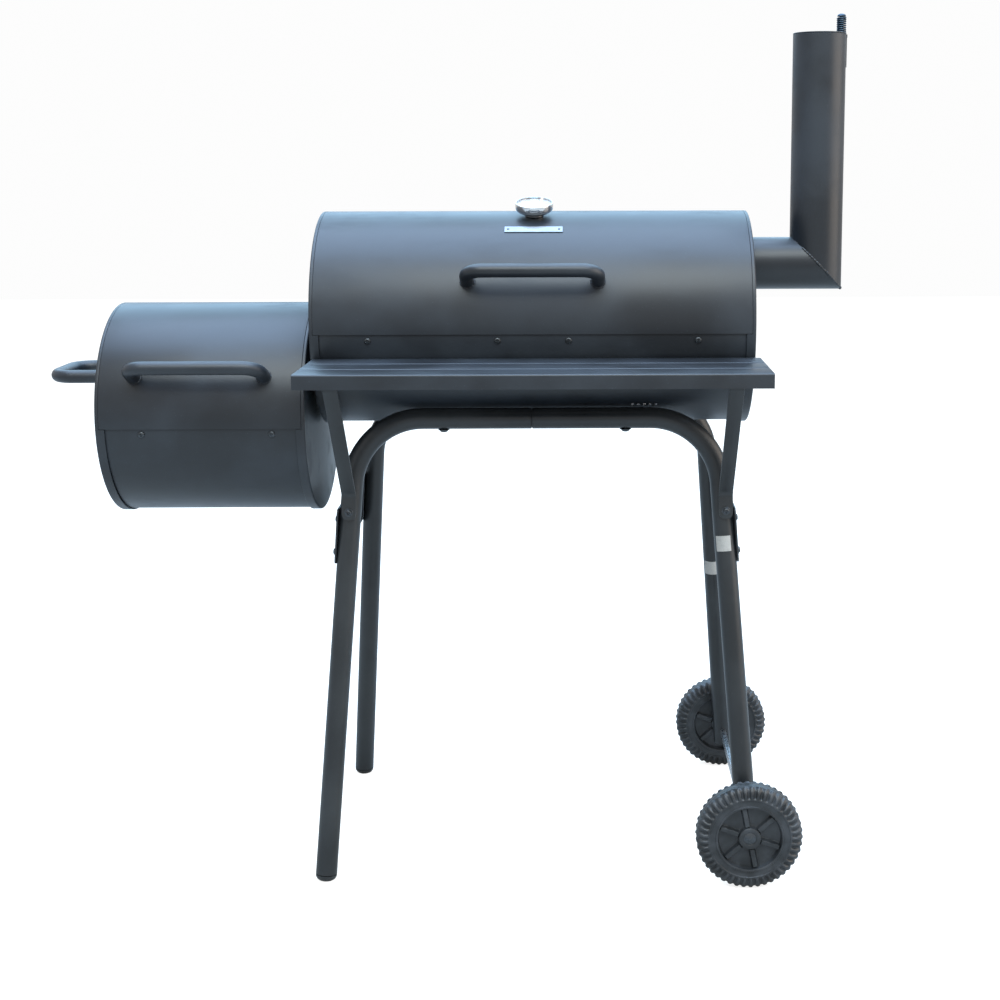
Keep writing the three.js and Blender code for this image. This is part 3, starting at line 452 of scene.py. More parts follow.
def make_piece(name, parts, finish, body, slot, replaces=(), crease=35.0, bevel=0.0, holes=()):
    """A named object in the frame: shaded smooth but for creases, riding on its body."""
    mesh = merged_mesh(name, parts)
    if holes:
        mesh = cut_away(mesh, holes)
        mesh.name = name
    mesh.materials.clear()
    mesh.materials.append(finished(finish))
    mesh.polygons.foreach_set("material_index", np.zeros(len(mesh.polygons), np.int32))
    mesh.shade_smooth()
    mesh.set_sharp_from_angle(angle=math.radians(crease))
    piece = bpy.data.objects.new(name, mesh)
    bpy.context.scene.collection.objects.link(piece)
    if bevel:
        edge = piece.modifiers.new("rounded_edges", "BEVEL")
        edge.width, edge.segments, edge.limit_method = bevel * MM, 2, "ANGLE"
        edge.angle_limit, edge.harden_normals = math.radians(40), True
    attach(piece, body)
    if replaces:
        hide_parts(*replaces)
    return piece


# ---------------------------------------------------------------- materials

def add(tree, kind, links=None, values=None, **settings):
    """Adds a node: settings are its properties, values its socket values, links its incoming sockets."""
    made = tree.nodes.new(kind)
    for key, value in settings.items():
        setattr(made, key, value)
    for key, value in (values or {}).items():
        made.inputs[key].default_value = value
    for key, socket in (links or {}).items():
        tree.links.new(socket, made.inputs[key])
    return made


def noise(tree, place, per_metre, detail=3.0, stretch=(1, 1, 1), roughness=0.5):
    """Noise on object coordinates, with so many features to the metre."""
    scaled = add(tree, "ShaderNodeMapping", {"Vector": place}, {"Scale": stretch})
    return add(tree, "ShaderNodeTexNoise", {"Vector": scaled.outputs[0]},
               {"Scale": per_metre, "Detail": detail, "Roughness": roughness}).outputs["Fac"]


def ramp(tree, factor, low, high, start=0.0, end=1.0):
    """Maps a factor between two bounds to another pair of bounds, smoothly and clamped."""
    return add(tree, "ShaderNodeMapRange", {"Value": factor},
               {"From Min": low, "From Max": high, "To Min": start, "To Max": end},
               interpolation_type="SMOOTHSTEP").outputs["Result"]


def blend_colours(tree, factor, first, second):
    """Mixes two colours, each a constant or a socket."""
    mixed = add(tree, "ShaderNodeMix", {"Factor": factor}, data_type="RGBA")
    for socket, value in ((mixed.inputs[6], first), (mixed.inputs[7], second)):
        if isinstance(value, bpy.types.NodeSocket):
            tree.links.new(value, socket)
        else:
            socket.default_value = value
    return mixed.outputs[2]


def tinted(tone, *share):
    """A colour with its red, green and blue scaled, each by its own share or all by one."""
    share = share * 3 if len(share) == 1 else share
    return tuple(min(1, k * c) for k, c in zip(share, tone[:3])) + (1,)


def start_material(name):
    """An empty node material and its object coordinates."""
    made = bpy.data.materials.new(name)
    made.use_nodes = True
    made.node_tree.nodes.clear()
    place = add(made.node_tree, "ShaderNodeTexCoord").outputs["Object"]
    return made, made.node_tree, place


def close_material(tree, values, links):
    """The shader with its own constants and links, joined to the output."""
    surface = add(tree, "ShaderNodeBsdfPrincipled", links, values)
    add(tree, "ShaderNodeOutputMaterial", {"Surface": surface.outputs[0]})


def painted(name, dark, light, grain, gloss, texture):
    """Sprayed paint: cloudy between two near colours, orange peel, rubbed patches and a little dust."""
    made, tree, place = start_material(name)
    cloud = ramp(tree, noise(tree, place, 7.0, 4.0), 0.34, 0.68)
    streak = ramp(tree, noise(tree, place, 16.0, 5.0, (0.35, 1, 1), 0.62), 0.46, 0.74)
    base = blend_colours(tree, cloud, dark, light)
    dust = ramp(tree, noise(tree, place, 520.0, 2.0), 0.66, 0.76, 0.0, 0.3)
    base = blend_colours(tree, dust, base, tinted(light, 2.6))
    sheen = ramp(tree, cloud, 0, 1, gloss - 0.035, gloss + 0.035)
    rubbed = add(tree, "ShaderNodeMath", {0: sheen, 1: ramp(tree, streak, 0, 1, 0, 0.1)},
                 operation="ADD").outputs[0]
    peel = noise(tree, place, 1.0 / grain, 2.5)
    bump = add(tree, "ShaderNodeBump", {"Height": peel},
               {"Strength": texture, "Distance": grain * 0.05}).outputs[0]
    close_material(tree, {"Specular IOR Level": 0.5, "IOR": 1.5, "Metallic": 0.0},
                   {"Base Color": base, "Roughness": rubbed, "Normal": bump})
    return made


def satin_heat_paint(look):
    # Silicone heat-resistant paint, sprayed and baked on rolled steel: satin, faintly cloudy, orange peel.
    return painted("satin_heat_paint", look.paint_dark, look.paint_light, look.paint_grain, 0.40, 0.35)


def stand_powder_coat(look):
    # Polyester powder coat on drawn tube: a finer peel and a more neutral black than the drums' paint.
    return painted("stand_powder_coat", look.stand_dark, look.stand_light, look.paint_grain * 0.8, 0.38, 0.45)


def moulded_polypropylene(look):
    # Injection-moulded polypropylene: low sheen, spark-eroded texture, dust held in the low places.
    made, tree, place = start_material("moulded_polypropylene")
    cloud = ramp(tree, noise(tree, place, 40.0, 4.0), 0.35, 0.7)
    base = blend_colours(tree, cloud, look.plastic_dark, look.plastic_light)
    grain = noise(tree, place, 1.0 / look.plastic_grain, 3.0)
    bump = add(tree, "ShaderNodeBump", {"Height": grain},
               {"Strength": 0.3, "Distance": look.plastic_grain * 0.06}).outputs[0]
    close_material(tree, {"Specular IOR Level": 0.5, "IOR": 1.49},
                   {"Base Color": base, "Roughness": ramp(tree, cloud, 0, 1, 0.34, 0.48), "Normal": bump})
    return made


def plain_metal(name, tint, rough, spread, per_metre, stretch=(1, 1, 1), relief=0.0):
    """Bare or plated metal: tint shifted a little and roughness varied by one noise."""
    made, tree, place = start_material(name)
    wear = ramp(tree, noise(tree, place, per_metre, 4.0, stretch), 0.3, 0.7)
    base = blend_colours(tree, wear, tint, tinted(tint, 0.72))
    links = {"Base Color": base, "Roughness": ramp(tree, wear, 0, 1, rough, rough + spread)}
    if relief:
        links["Normal"] = add(tree, "ShaderNodeBump", {"Height": wear},
                              {"Strength": 0.4, "Distance": relief}).outputs[0]
    close_material(tree, {"Metallic": 1.0}, links)
    return made


def zinc_plate(look):
    # Electroplated zinc on screws and pins: bright, slightly spangled.
    return plain_metal("zinc_plate", look.zinc, 0.22, 0.16, 420.0)


def chrome_plate(look):
    # Decorative chrome over nickel: mirror-like with faint finger marks.
    return plain_metal("chrome_plate", look.chrome, 0.2, 0.16, 90.0)


def brushed_aluminium(look):
    # Aluminium sheet brushed lengthwise: fine lines along X, a soft broad glint.
    return plain_metal("brushed_aluminium", look.aluminium, 0.26, 0.18, 1.0 / look.brush_spacing,
                       (0.02, 1, 1), 0.00004)


def black_oxide_steel(look):
    # Blackened steel fasteners: dark, with a soft metal glint on the rounded edges.
    return plain_metal("black_oxide_steel", look.oxide, 0.3, 0.15, 380.0)


def blued_spring_steel(look):
    # Spring wire tempered blue and oiled: dark, cool and glossy.
    return plain_metal("blued_spring_steel", look.spring, 0.3, 0.2, 300.0)


def mill_finish_steel(look):
    # Hot-rolled tray steel as it leaves the mill: mottled grey scale, low gloss.
    return plain_metal("mill_finish_steel", look.tray, 0.42, 0.22, 45.0, relief=0.0001)


def seasoned_wire(look):
    # Welded grate wire with baked-on oil: brown-black, patchy gloss.
    made, tree, place = start_material("seasoned_wire")
    crust = ramp(tree, noise(tree, place, 160.0, 5.0), 0.38, 0.68)
    base = blend_colours(tree, crust, look.wire, tinted(look.wire, 0.4))
    bump = add(tree, "ShaderNodeBump", {"Height": crust}, {"Strength": 0.5, "Distance": 0.0002}).outputs[0]
    close_material(tree, {"Metallic": 0.6},
                   {"Base Color": base, "Roughness": ramp(tree, crust, 0, 1, 0.3, 0.55), "Normal": bump})
    return made


def polyethylene_foot(look):
    # Moulded polyethylene plug: waxy black, scuffed where it meets the ground.
    made, tree, place = start_material("polyethylene_foot")
    scuff = ramp(tree, noise(tree, place, 260.0, 5.0), 0.5, 0.72)
    base = blend_colours(tree, scuff, look.foot, tinted(look.foot, 2.2))
    close_material(tree, {"IOR": 1.51},
                   {"Base Color": base, "Roughness": ramp(tree, scuff, 0, 1, 0.38, 0.62)})
    return made


def enamel_dial(look):
    # Printed enamel on tin: pale, with a slight yellowing.
    made, tree, place = start_material("enamel_dial")
    stain = ramp(tree, noise(tree, place, 120.0, 3.0), 0.45, 0.75, 0, 0.5)
    base = blend_colours(tree, stain, look.dial, tinted(look.dial, 0.9, 0.88, 0.8))
    close_material(tree, {"IOR": 1.5}, {"Base Color": base, "Roughness": ramp(tree, stain, 0, 0.5, 0.28, 0.4)})
    return made


def dial_ink(look):
    # Screen-printed dial marks: flat dark ink, slightly uneven.
    made, tree, place = start_material("dial_ink")
    patch = ramp(tree, noise(tree, place, 900.0, 2.0), 0.4, 0.7)
    base = blend_colours(tree, patch, linear("#16181a"), linear("#26292c"))
    close_material(tree, {}, {"Base Color": base, "Roughness": ramp(tree, patch, 0, 1, 0.5, 0.65)})
    return made


def pointer_lacquer(look):
    # Red lacquer on stamped tin: a smooth, slightly glossy red.
    made, tree, place = start_material("pointer_lacquer")
    patch = ramp(tree, noise(tree, place, 700.0, 2.0), 0.4, 0.7)
    base = blend_colours(tree, patch, look.pointer, tinted(look.pointer, 0.7))
    close_material(tree, {"IOR": 1.5}, {"Base Color": base, "Roughness": ramp(tree, patch, 0, 1, 0.3, 0.42)})
    return made


def clear_glass(look):
    # Soda-lime cover glass: clear, with faint wipe marks.
    made, tree, place = start_material("clear_glass")
    smear = ramp(tree, noise(tree, place, 80.0, 3.0), 0.45, 0.75, 0.01, 0.07)
    close_material(tree, {"Base Color": (1, 1, 1, 1), "Transmission Weight": 1.0, "IOR": 1.52, "Alpha": 0.14},
                   {"Roughness": smear})
    return made


def label_paper(look):
    # Uncoated paper parts label stuck round a tube: off-white fibres, edges a little grey.
    made, tree, place = start_material("label_paper")
    fibre = ramp(tree, noise(tree, place, 900.0, 4.0), 0.35, 0.7)
    patch = ramp(tree, noise(tree, place, 130.0, 3.0), 0.5, 0.7, 0, 0.35)
    base = blend_colours(tree, fibre, look.paper, tinted(look.paper, 0.86))
    base = blend_colours(tree, patch, base, tinted(look.paper, 0.6))
    bump = add(tree, "ShaderNodeBump", {"Height": fibre}, {"Strength": 0.3, "Distance": 0.0001}).outputs[0]
    close_material(tree, {"Specular IOR Level": 0.3, "Roughness": 0.75}, {"Base Color": base, "Normal": bump})
    return made


def pale_floor(look):
    # Matt pale studio floor, very slightly uneven; it looks white but throws back only part of the light.
    made, tree, place = start_material("pale_floor")
    patch = ramp(tree, noise(tree, place, 1.2, 3.0), 0.3, 0.7)
    base = blend_colours(tree, patch, look.floor, tinted(look.floor, 0.985))
    seen = add(tree, "ShaderNodeLightPath").outputs["Is Camera Ray"]
    lift = add(tree, "ShaderNodeMath", {0: seen}, {1: 0.8}, operation="MULTIPLY").outputs[0]
    close_material(tree, {"Specular IOR Level": 0.1, "Roughness": 0.9, "Emission Color": (1, 1, 1, 1)},
                   {"Base Color": base, "Emission Strength": lift})
    return made


FINISHES = {maker.__name__: maker for maker in (
    satin_heat_paint, stand_powder_coat, moulded_polypropylene, zinc_plate, chrome_plate,
    brushed_aluminium, blued_spring_steel, black_oxide_steel, mill_finish_steel, seasoned_wire, polyethylene_foot,
    enamel_dial, dial_ink, pointer_lacquer, clear_glass, label_paper, pale_floor)}


def finished(name):
    """The material of that name, made once."""
    made = bpy.data.materials.get(name)
    return made or FINISHES[name](bpy.context.scene.smoker_finishes)


# Finish, body and the record's material slot of pieces that share all three.
PAINT = ("satin_heat_paint", "smoker_body", "satin_black_paint")
BARREL_LID_PAINT = ("satin_heat_paint", "barrel_lid", "satin_black_paint")
FIREBOX_LID_PAINT = ("satin_heat_paint", "firebox_lid", "satin_black_paint")
SHUTTER_PAINT = ("satin_heat_paint", "air_shutter", "satin_black_paint")
FLAP_PAINT = ("satin_heat_paint", "stack_flap", "satin_black_paint")
STAND = ("stand_powder_coat", "smoker_body", "stand_paint")
ZINC = ("zinc_plate", "smoker_body", "zinc_steel")
OXIDE = ("black_oxide_steel", "smoker_body", "zinc_steel")
SPRING = ("blued_spring_steel", "smoker_body", "zinc_steel")


# ---------------------------------------------------------------- drums

def drum_point(drum, x, radius, degrees_from_back):
    """A point over or under a drum's axis: y = r cos a, z = height + r sin a."""
    a = math.radians(degrees_from_back)
    return np.array([x, radius * math.cos(a), drum.height + radius * math.sin(a)])


def out_of_drum(degrees_from_back):
    """The direction straight out of a drum's side: (0, cos a, sin a)."""
    a = math.radians(degrees_from_back)
    return np.array([0.0, math.cos(a), math.sin(a)])


def end_disc(drum, side):
    """A pressed end: a profile (distance from the face, radius) turned about the axis.

    The skirt's radius depends on the angle: full below the lid line, stepped in under the lid."""
    full, skirt = drum.radius, drum.radius - FLANGE_DROP
    inner = skirt - SHEET
    below, above, notch = 121, 115, 0.3  # steps round each part, and degrees from the lid line to the step
    turn = np.concatenate([np.linspace(LID_TO + notch, 360 + LID_FROM - notch, below),
                           np.linspace(LID_FROM - notch, LID_TO + notch, above)])
    band = (np.arange(len(turn)) < below)[:, None]
    nose, wall = 2.0, 1.5  # rounding of the face's corner, and the pressed sheet
    corner = np.linspace(0, np.pi / 2, 6)
    distance = np.concatenate([[0], nose - nose * np.cos(corner), [RIM - 0.4, RIM, RIM, SKIRT - 0.3,
                               SKIRT, SKIRT, wall, wall]])
    rounded = [[0], full - nose + nose * np.sin(corner)]
    lidded = np.concatenate([*rounded, [full, full - 0.4, skirt, skirt, skirt - 0.3, inner, inner, 0]])
    thin = full - 1.4
    banded = np.concatenate([*rounded, [full, full, full, full, full - 0.3, thin, thin, 0]])
    radius = np.where(band, banded[None], lidded[None])
    face = drum.left if side < 0 else drum.right
    a = np.radians(turn)[:, None]
    points = np.stack([face - side * distance[None] + 0 * a, radius * np.cos(a),
                       drum.height + radius * np.sin(a)], axis=-1)
    return lattice(points, wrap_u=True)


def plug(x, y, height, radius, sides=48, reach=30):
    """A cutter's cylinder along X."""
    return revolved([(-reach, 0), (-reach, radius), (reach, radius), (reach, 0)], (x, y, height), X, sides)


def grate_ledge(drum, side, height, left, right):
    """An angle strip that a grate lies on: an L path in Y and Z carried along X."""
    thick, upstand, shelf, clearance, bend = 1.5, 16.0, 15.0, 1.6, 2.0
    inside = drum.radius - SHELL_DROP - SHEET
    wall = math.sqrt(inside ** 2 - (height - thick - drum.height) ** 2) - clearance
    level = height - thick / 2
    path = bent_path([(0, side * wall, height + upstand), (0, side * wall, level),
                      (0, side * (wall - shelf), level)], bend, 4)
    facing = np.sign(path[2][0])
    return strip(path, *sorted((facing * left, facing * right)), thick)


def wire_grate(left, right, half, base, wires, radius):
    """A welded wire grate: a rounded frame loop, two long wires and many cross wires."""
    frame_radius, long_radius, margin = 2.5, 2.1, 12.0
    low, high = (left + frame_radius, -half + frame_radius), (right - frame_radius, half - frame_radius)
    loop = rounded_loop(low, high, margin, 6)
    ahead = unit(np.roll(loop, -1, 0) - loop) + unit(loop - np.roll(loop, 1, 0))
    heading = np.concatenate([unit(ahead), np.zeros((len(loop), 1))], axis=1)
    middle = base + frame_radius
    path = np.concatenate([loop, np.full((len(loop), 1), middle)], axis=1)
    parts = [tube((path, heading, Z), frame_radius, 12, wrap=True)]
    for x in np.linspace(left + margin, right - margin, wires):
        ends = bent_path([(x, low[1], middle), (x, high[1], middle)], ())
        parts.append(tube(ends, radius, 10))
    for y in (-half * 0.45, half * 0.45):
        ends = bent_path([(left + 3, y, middle - 0.4), (right - 3, y, middle - 0.4)], ())
        parts.append(tube(ends, long_radius, 10))
    return parts


def open_tray(half_x, half_y, base, depth, wall):
    """A folded tray: rounded-rectangle rings at (half x, half y, z), up the outside and down the inside."""
    # How far each ring lies inside the tray's outline, and its height; the first and last are the middle.
    rings = [(2.5, 0), (0.8, 0.8), (0, 2.5), (0, depth - 0.4), (0.4, depth), (wall - 0.3, depth),
             (wall, depth - 0.4), (wall, 3.4), (wall + 1.6, wall)]
    sizes = [(half_x * 0.02, half_y * 0.02, 0), *((half_x - inset, half_y - inset, z) for inset, z in rings),
             (half_x * 0.02, half_y * 0.02, wall)]
    bend, steps = 6.0, 4
    loops = np.stack([np.concatenate([rounded_loop((-a, -b), (a, b), min(bend, a * 0.4, b * 0.4), steps),
                                      np.full((4 * (steps + 1), 1), base + z)], axis=1) for a, b, z in sizes])
    return lattice(loops, wrap_v=True, caps=True)


def foot_weld(place, first, second, seed):
    """The fillet weld round a handle's foot."""
    return weld_bead(place, first, second, HANDLE_RADIUS + 0.2, 1.2, seed, ripples=26, sides=8, steps=96)


def lid_handle(drum, middle_x):
    """A bent tube standing off a lid, a little above the front."""
    above_front, half_span, reach, bend = 24, 90.0, 45.0, 24.0
    out = out_of_drum(180 - above_front)
    left, right = (np.array([middle_x + x, 0, drum.height]) for x in (-half_span, half_span))
    foot, bar = out * (drum.radius + 0.4), out * (drum.radius + reach)
    path = bent_path([left + foot, left + bar, right + bar, right + foot], bend, 12)
    first, second = cross_frame(out, X)
    at_sheet = out * (drum.radius + 0.7)
    return [tube(path, HANDLE_RADIUS, 32, start=((0, 0), (0, 1.0))),
            foot_weld(left + at_sheet, first, second, 3), foot_weld(right + at_sheet, first, second, 4)]


def hinge_leaf(x, axis, pin, away, up, turn_up, plate_at, knuckles):
    """A leaf from the drum's axis: a flat strip, and knuckles whose path leaves it to curl round the pin.

    The curl is pin + r (cos t away - sin t up), from behind the pin to past its top."""
    near, far, half, knuckle, thick = 7, 30 if turn_up > 0 else 36, 30, 3.6, 1.8
    flat, heading, _ = bent_path([axis + away * plate_at + up * turn_up * reach for reach in (far, near)], ())
    parts = [strip((flat, heading, X), x - half, x + half, thick)]
    curl = np.radians(np.linspace(180, 470, 26))
    ring = np.stack([np.cos(curl), -turn_up * np.sin(curl)], axis=1) * knuckle
    tangent = np.stack([-np.sin(curl), -turn_up * np.cos(curl)], axis=1)
    points = np.concatenate([[[plate_at - pin, turn_up * 9]], [[-knuckle, turn_up * 3]], ring])
    heading = np.concatenate([[[0, -turn_up]], [[0, -turn_up]], tangent])
    world = axis + (pin + points[:, :1]) * away + points[:, 1:] * up
    turned = unit(heading[:, :1] * away + heading[:, 1:] * up)
    return parts + [strip((world, turned, X), x + left, x + right, 1.6) for left, right in knuckles]


def hinge_pieces(prefix, drum, x, lid_body, replaced):
    """A butt hinge: a leaf on the lid, a leaf on the shell, their rivets, and the pin."""
    a = math.radians(7)
    away, up = np.array([0, math.cos(a), math.sin(a)]), np.array([0, -math.sin(a), math.cos(a)])
    axis, pin = np.array([0, 0, drum.height]), drum.radius + 5
    shell = drum.radius - SHELL_DROP
    upper = hinge_leaf(x, axis, pin, away, up, 1, drum.radius + 1.3, [(-11.6, 11.6)])
    lower = hinge_leaf(x, axis, pin, away, up, -1, shell + 1.4, [(-29.8, -12.2), (12.2, 29.8)])
    make_piece(prefix + "_upper_leaf", upper, PAINT[0], lid_body, PAINT[2], [replaced[0]])
    make_piece(prefix + "_lower_leaf", lower, *PAINT, [replaced[1]])
    ends = [(-32.6, 0), (-32.4, 3.2), (-31.2, 3.8), (-30.2, 3.8), (-30.2, 2.2), (30.2, 2.2), (30.2, 3.8),
            (31.2, 3.8), (32.4, 3.2), (32.6, 0)]
    make_piece(prefix + "_pin_rod", [revolved(ends, axis + away * pin + X * x, X, 28)], *ZINC, [replaced[2]])
    rivets = {"upper": (drum.radius + 2.2, 1, lid_body), "lower": (shell + 2.3, -1, "smoker_body")}
    for leaf, (face, turn_up, body) in rivets.items():
        row = axis + X * x + away * face + up * turn_up * 20
        heads = [screw_head(row + X * across, away, 4.2, 1.9, cross=False) for across in (-20, 0, 20)]
        make_piece(f"{prefix}_{leaf}_rivets", heads, ZINC[0], body, ZINC[2])


def rolled_shell(drum, edge):
    """A drum's lower sheet, from end disc to end disc."""
    outer = drum.radius - SHELL_DROP
    return drum_sheet(drum, drum.left + SHELL_INSET, drum.right - SHELL_INSET, outer, outer - SHEET,
                      SHELL_FROM, SHELL_TO, DRUM_STEPS, edge)


def rolled_lid(drum, edge):
    """A drum's lid, lying between the rims of the end discs."""
    return drum_sheet(drum, drum.left + RIM + GAP, drum.right - RIM - GAP, drum.radius, drum.radius - SHEET,
                      LID_FROM, LID_TO, DRUM_STEPS, edge)


class SMOKER_OT_barrel(bpy.types.Operator):
    """Makes the barrel's shell and its two pressed end discs"""
    bl_idname = "smoker.barrel"
    bl_label = "Barrel"

    def execute(self, context):
        edge = context.scene.smoker_sizes.sheet_edge / MM
        make_piece("barrel_rolled_shell", [rolled_shell(BARREL, edge)], *PAINT, ["barrel_shell"])
        smoke, stub = middle_of("smoke_collar")[2], middle_of("stack_stub")[2]
        make_piece("barrel_left_disc", [end_disc(BARREL, -1)], *PAINT, ["barrel_left_end"],
                   holes=[plug(BARREL.left, 0, smoke, SMOKE_HOLE_RADIUS)])
        stub_hole = 38.4
        make_piece("barrel_right_disc", [end_disc(BARREL, 1)], *PAINT, ["barrel_right_end"],
                   holes=[plug(BARREL.right, 0, stub, stub_hole)])
        # Five small rings of bare metal in a row low on the front.
        below_front, face = 229, BARREL.radius - SHELL_DROP + 0.1
        along = np.cross(X, out_of_drum(below_front))
        marks = [weld_bead(drum_point(BARREL, x, face, below_front), X, along, 1.5, 0.55, int(x),
                           ripples=5, sides=6, steps=24) for x in np.linspace(139, 172, 5)]
        make_piece("barrel_punched_marks", marks, *ZINC)
        bead = revolved([(0.2, 37.4), (0.2, 40.6), (1.0, 40.2), (2.6, 38.4), (3.0, 37.4)],
                        (BARREL.right, 0, stub), X, 96, closed_profile=True)
        make_piece("stub_fillet_weld", [bead], *PAINT)
        return {"FINISHED"}


class SMOKER_OT_cooking_fittings(bpy.types.Operator):
    """Makes the grates, the ledges they lie on and the charcoal tray"""
    bl_idname = "smoker.cooking_fittings"
    bl_label = "Grates, ledges and tray"

    def execute(self, context):
        wire = context.scene.smoker_sizes.wire_radius / MM
        spacing, sheet = 13.5, 1.2
        for node in ("cooking_grate_left", "cooking_grate_right", "firebox_cooking_grate",
                     "firebox_charcoal_grate"):
            low, high = extent(node)
            count = int((high[0] - low[0]) / spacing)
            make_piece(node + "_wires", wire_grate(low[0], high[0], high[1], low[2], count, wire),
                       "seasoned_wire", "smoker_body", "grate_iron", [node])
        for drum, prefix in ((BARREL, "barrel"), (FIREBOX, "firebox")):
            for side, name in ((-1, "front"), (1, "rear")):
                node = f"{prefix}_{name}_grate_ledge"
                low, high = extent(node)
                make_piece(node + "_angle", [grate_ledge(drum, side, low[2] + 1.5, low[0], high[0])],
                           *PAINT[:2], "grate_iron", [node])
        low, high = extent("charcoal_tray")
        make_piece("folded_charcoal_tray", [open_tray(high[0], high[1], low[2], high[2] - low[2], sheet)],
                   "mill_finish_steel", "smoker_body", "plate_steel", ["charcoal_tray"])
        return {"FINISHED"}


class SMOKER_OT_barrel_lid(bpy.types.Operator):
    """Makes the barrel's rolled lid, its handle and the riveted blank name plate"""
    bl_idname = "smoker.barrel_lid"
    bl_label = "Barrel lid"

    def execute(self, context):
        edge = context.scene.smoker_sizes.sheet_edge / MM
        make_piece("barrel_rolled_lid", [rolled_lid(BARREL, edge)], *BARREL_LID_PAINT, ["barrel_lid"])
        make_piece("barrel_bent_handle", lid_handle(BARREL, 0), *BARREL_LID_PAINT, ["barrel_lid_handle"])
        name_angle, half_angle, half_length = 122, 2.4, 41
        section = rounded_loop((-half_length, BARREL.radius + 0.2), (half_length, BARREL.radius + 1.2), 0.35)
        sheet = revolved(section, (0, 0, BARREL.height), X, 12, reference=Y, start=name_angle - half_angle,
                         sweep=2 * half_angle, closed_profile=True)
        make_piece("blank_name_plate", [sheet], "brushed_aluminium", "barrel_lid", "chrome_plate", ["name_plate"])
        rivets = [screw_head(drum_point(BARREL, x, BARREL.radius + 1.1, name_angle), out_of_drum(name_angle),
                             1.9, 0.8, cross=False) for x in (-36, 36)]
        make_piece("name_plate_rivets", rivets, OXIDE[0], "barrel_lid", OXIDE[2])
        return {"FINISHED"}


class SMOKER_OT_thermometer(bpy.types.Operator):
    """Makes the thermometer's case, dial, marks, pointer and glass"""
    bl_idname = "smoker.thermometer"
    bl_label = "Thermometer"

    def execute(self, context):
        before_top = 15
        axis = out_of_drum(90 + before_top)
        base = np.array([0, 0, BARREL.height]) + axis * BARREL.radius
        up = np.cross(axis, X)
        face = 19.0  # the bezel's height above the lid
        case = [(-58, 0), (-57, 2), (-55, 3.5), (0.3, 3.5), (0.3, 13.5), (1.0, 14), (2.4, 14), (3.2, 15.6),
                (4.4, 19), (6.2, 22.8), (8.2, 25.4), (10.4, 26.7), (13, 27), (face - 0.6, 27), (face + 0.4, 26.8),
                (face + 1, 26), (face + 0.9, 25.4), (face - 0.6, 25.2), (face - 3.2, 24.6), (face - 7, 24.2),
                (face - 7, 0)]
        make_piece("thermometer_bezel_case", [revolved(case, base, axis, 96)], "chrome_plate", "barrel_lid",
                   "chrome_plate", ["thermometer_case"], crease=50)
        dial = plate(disc_outline(24), base + axis * (face - 6.9), X, up, 0.5, 0.1)
        make_piece("thermometer_dial", [dial], "enamel_dial", "barrel_lid", "chrome_plate")
        marks, rim = [], 22.5
        for i in range(28):
            a = math.radians(225 - 10 * i)
            out, side = np.array([math.cos(a), math.sin(a)]), np.array([-math.sin(a), math.cos(a)])
            inner, half = (17.5, 0.45) if i % 3 == 0 else (20.0, 0.25)
            outline = np.array([out * inner - side * half, out * rim - side * half,
                                out * rim + side * half, out * inner + side * half])
            marks.append(plate(outline, base + axis * (face - 6.42), X, up, 0.12, 0.02, 1))
        make_piece("thermometer_marks", marks, "dial_ink", "barrel_lid", "chrome_plate")
        turn = math.radians(135)
        shape = np.array([[-2.5, -5], [2.5, -5], [3, 0], [0.7, 18.6], [-0.7, 18.6], [-3, 0]])
        swing = np.array([[math.cos(turn), math.sin(turn)], [-math.sin(turn), math.cos(turn)]])
        needle = plate(shape @ swing, base + axis * (face - 5.6), X, up, 0.7, 0.15)
        hub = revolved([(0, 0), (0, 2.4), (0.7, 2.4), (1.1, 1.8), (1.2, 0)], base + axis * (face - 5), axis, 24)
        make_piece("thermometer_needle", [needle, hub], "pointer_lacquer", "thermometer_pointer", "pointer_red",
                   ["thermometer_pointer"])
        # The glass is slightly domed: its height falls by 0.6 s^2 from its middle to its edge.
        share, glass = np.linspace(0, 1, 8), 25.0
        dome = np.concatenate([np.stack([face - 1 - 0.6 * share ** 2, share * glass], 1),
                               np.stack([face - 2.6 - 0.6 * share[::-1] ** 2, share[::-1] * glass], 1)])
        make_piece("thermometer_cover_glass", [revolved(dome, base, axis, 72)], "clear_glass", "barrel_lid",
                   "clear_glass", ["thermometer_glass"], crease=60)
        return {"FINISHED"}


class SMOKER_OT_hinges(bpy.types.Operator):
    """Makes the three butt hinges behind the lids"""
    bl_idname = "smoker.hinges"
    bl_label = "Hinges"

    def execute(self, context):
        for node, drum, body in (("barrel_left_hinge", BARREL, "barrel_lid"),
                                 ("barrel_right_hinge", BARREL, "barrel_lid"),
                                 ("firebox_hinge", FIREBOX, "firebox_lid")):
            hinge_pieces(node.replace("_hinge", "_butt_hinge"), drum, middle_of(node + "_pin")[0], body,
                         [node + "_lid_leaf", node + "_body_leaf", node + "_pin"])
        return {"FINISHED"}


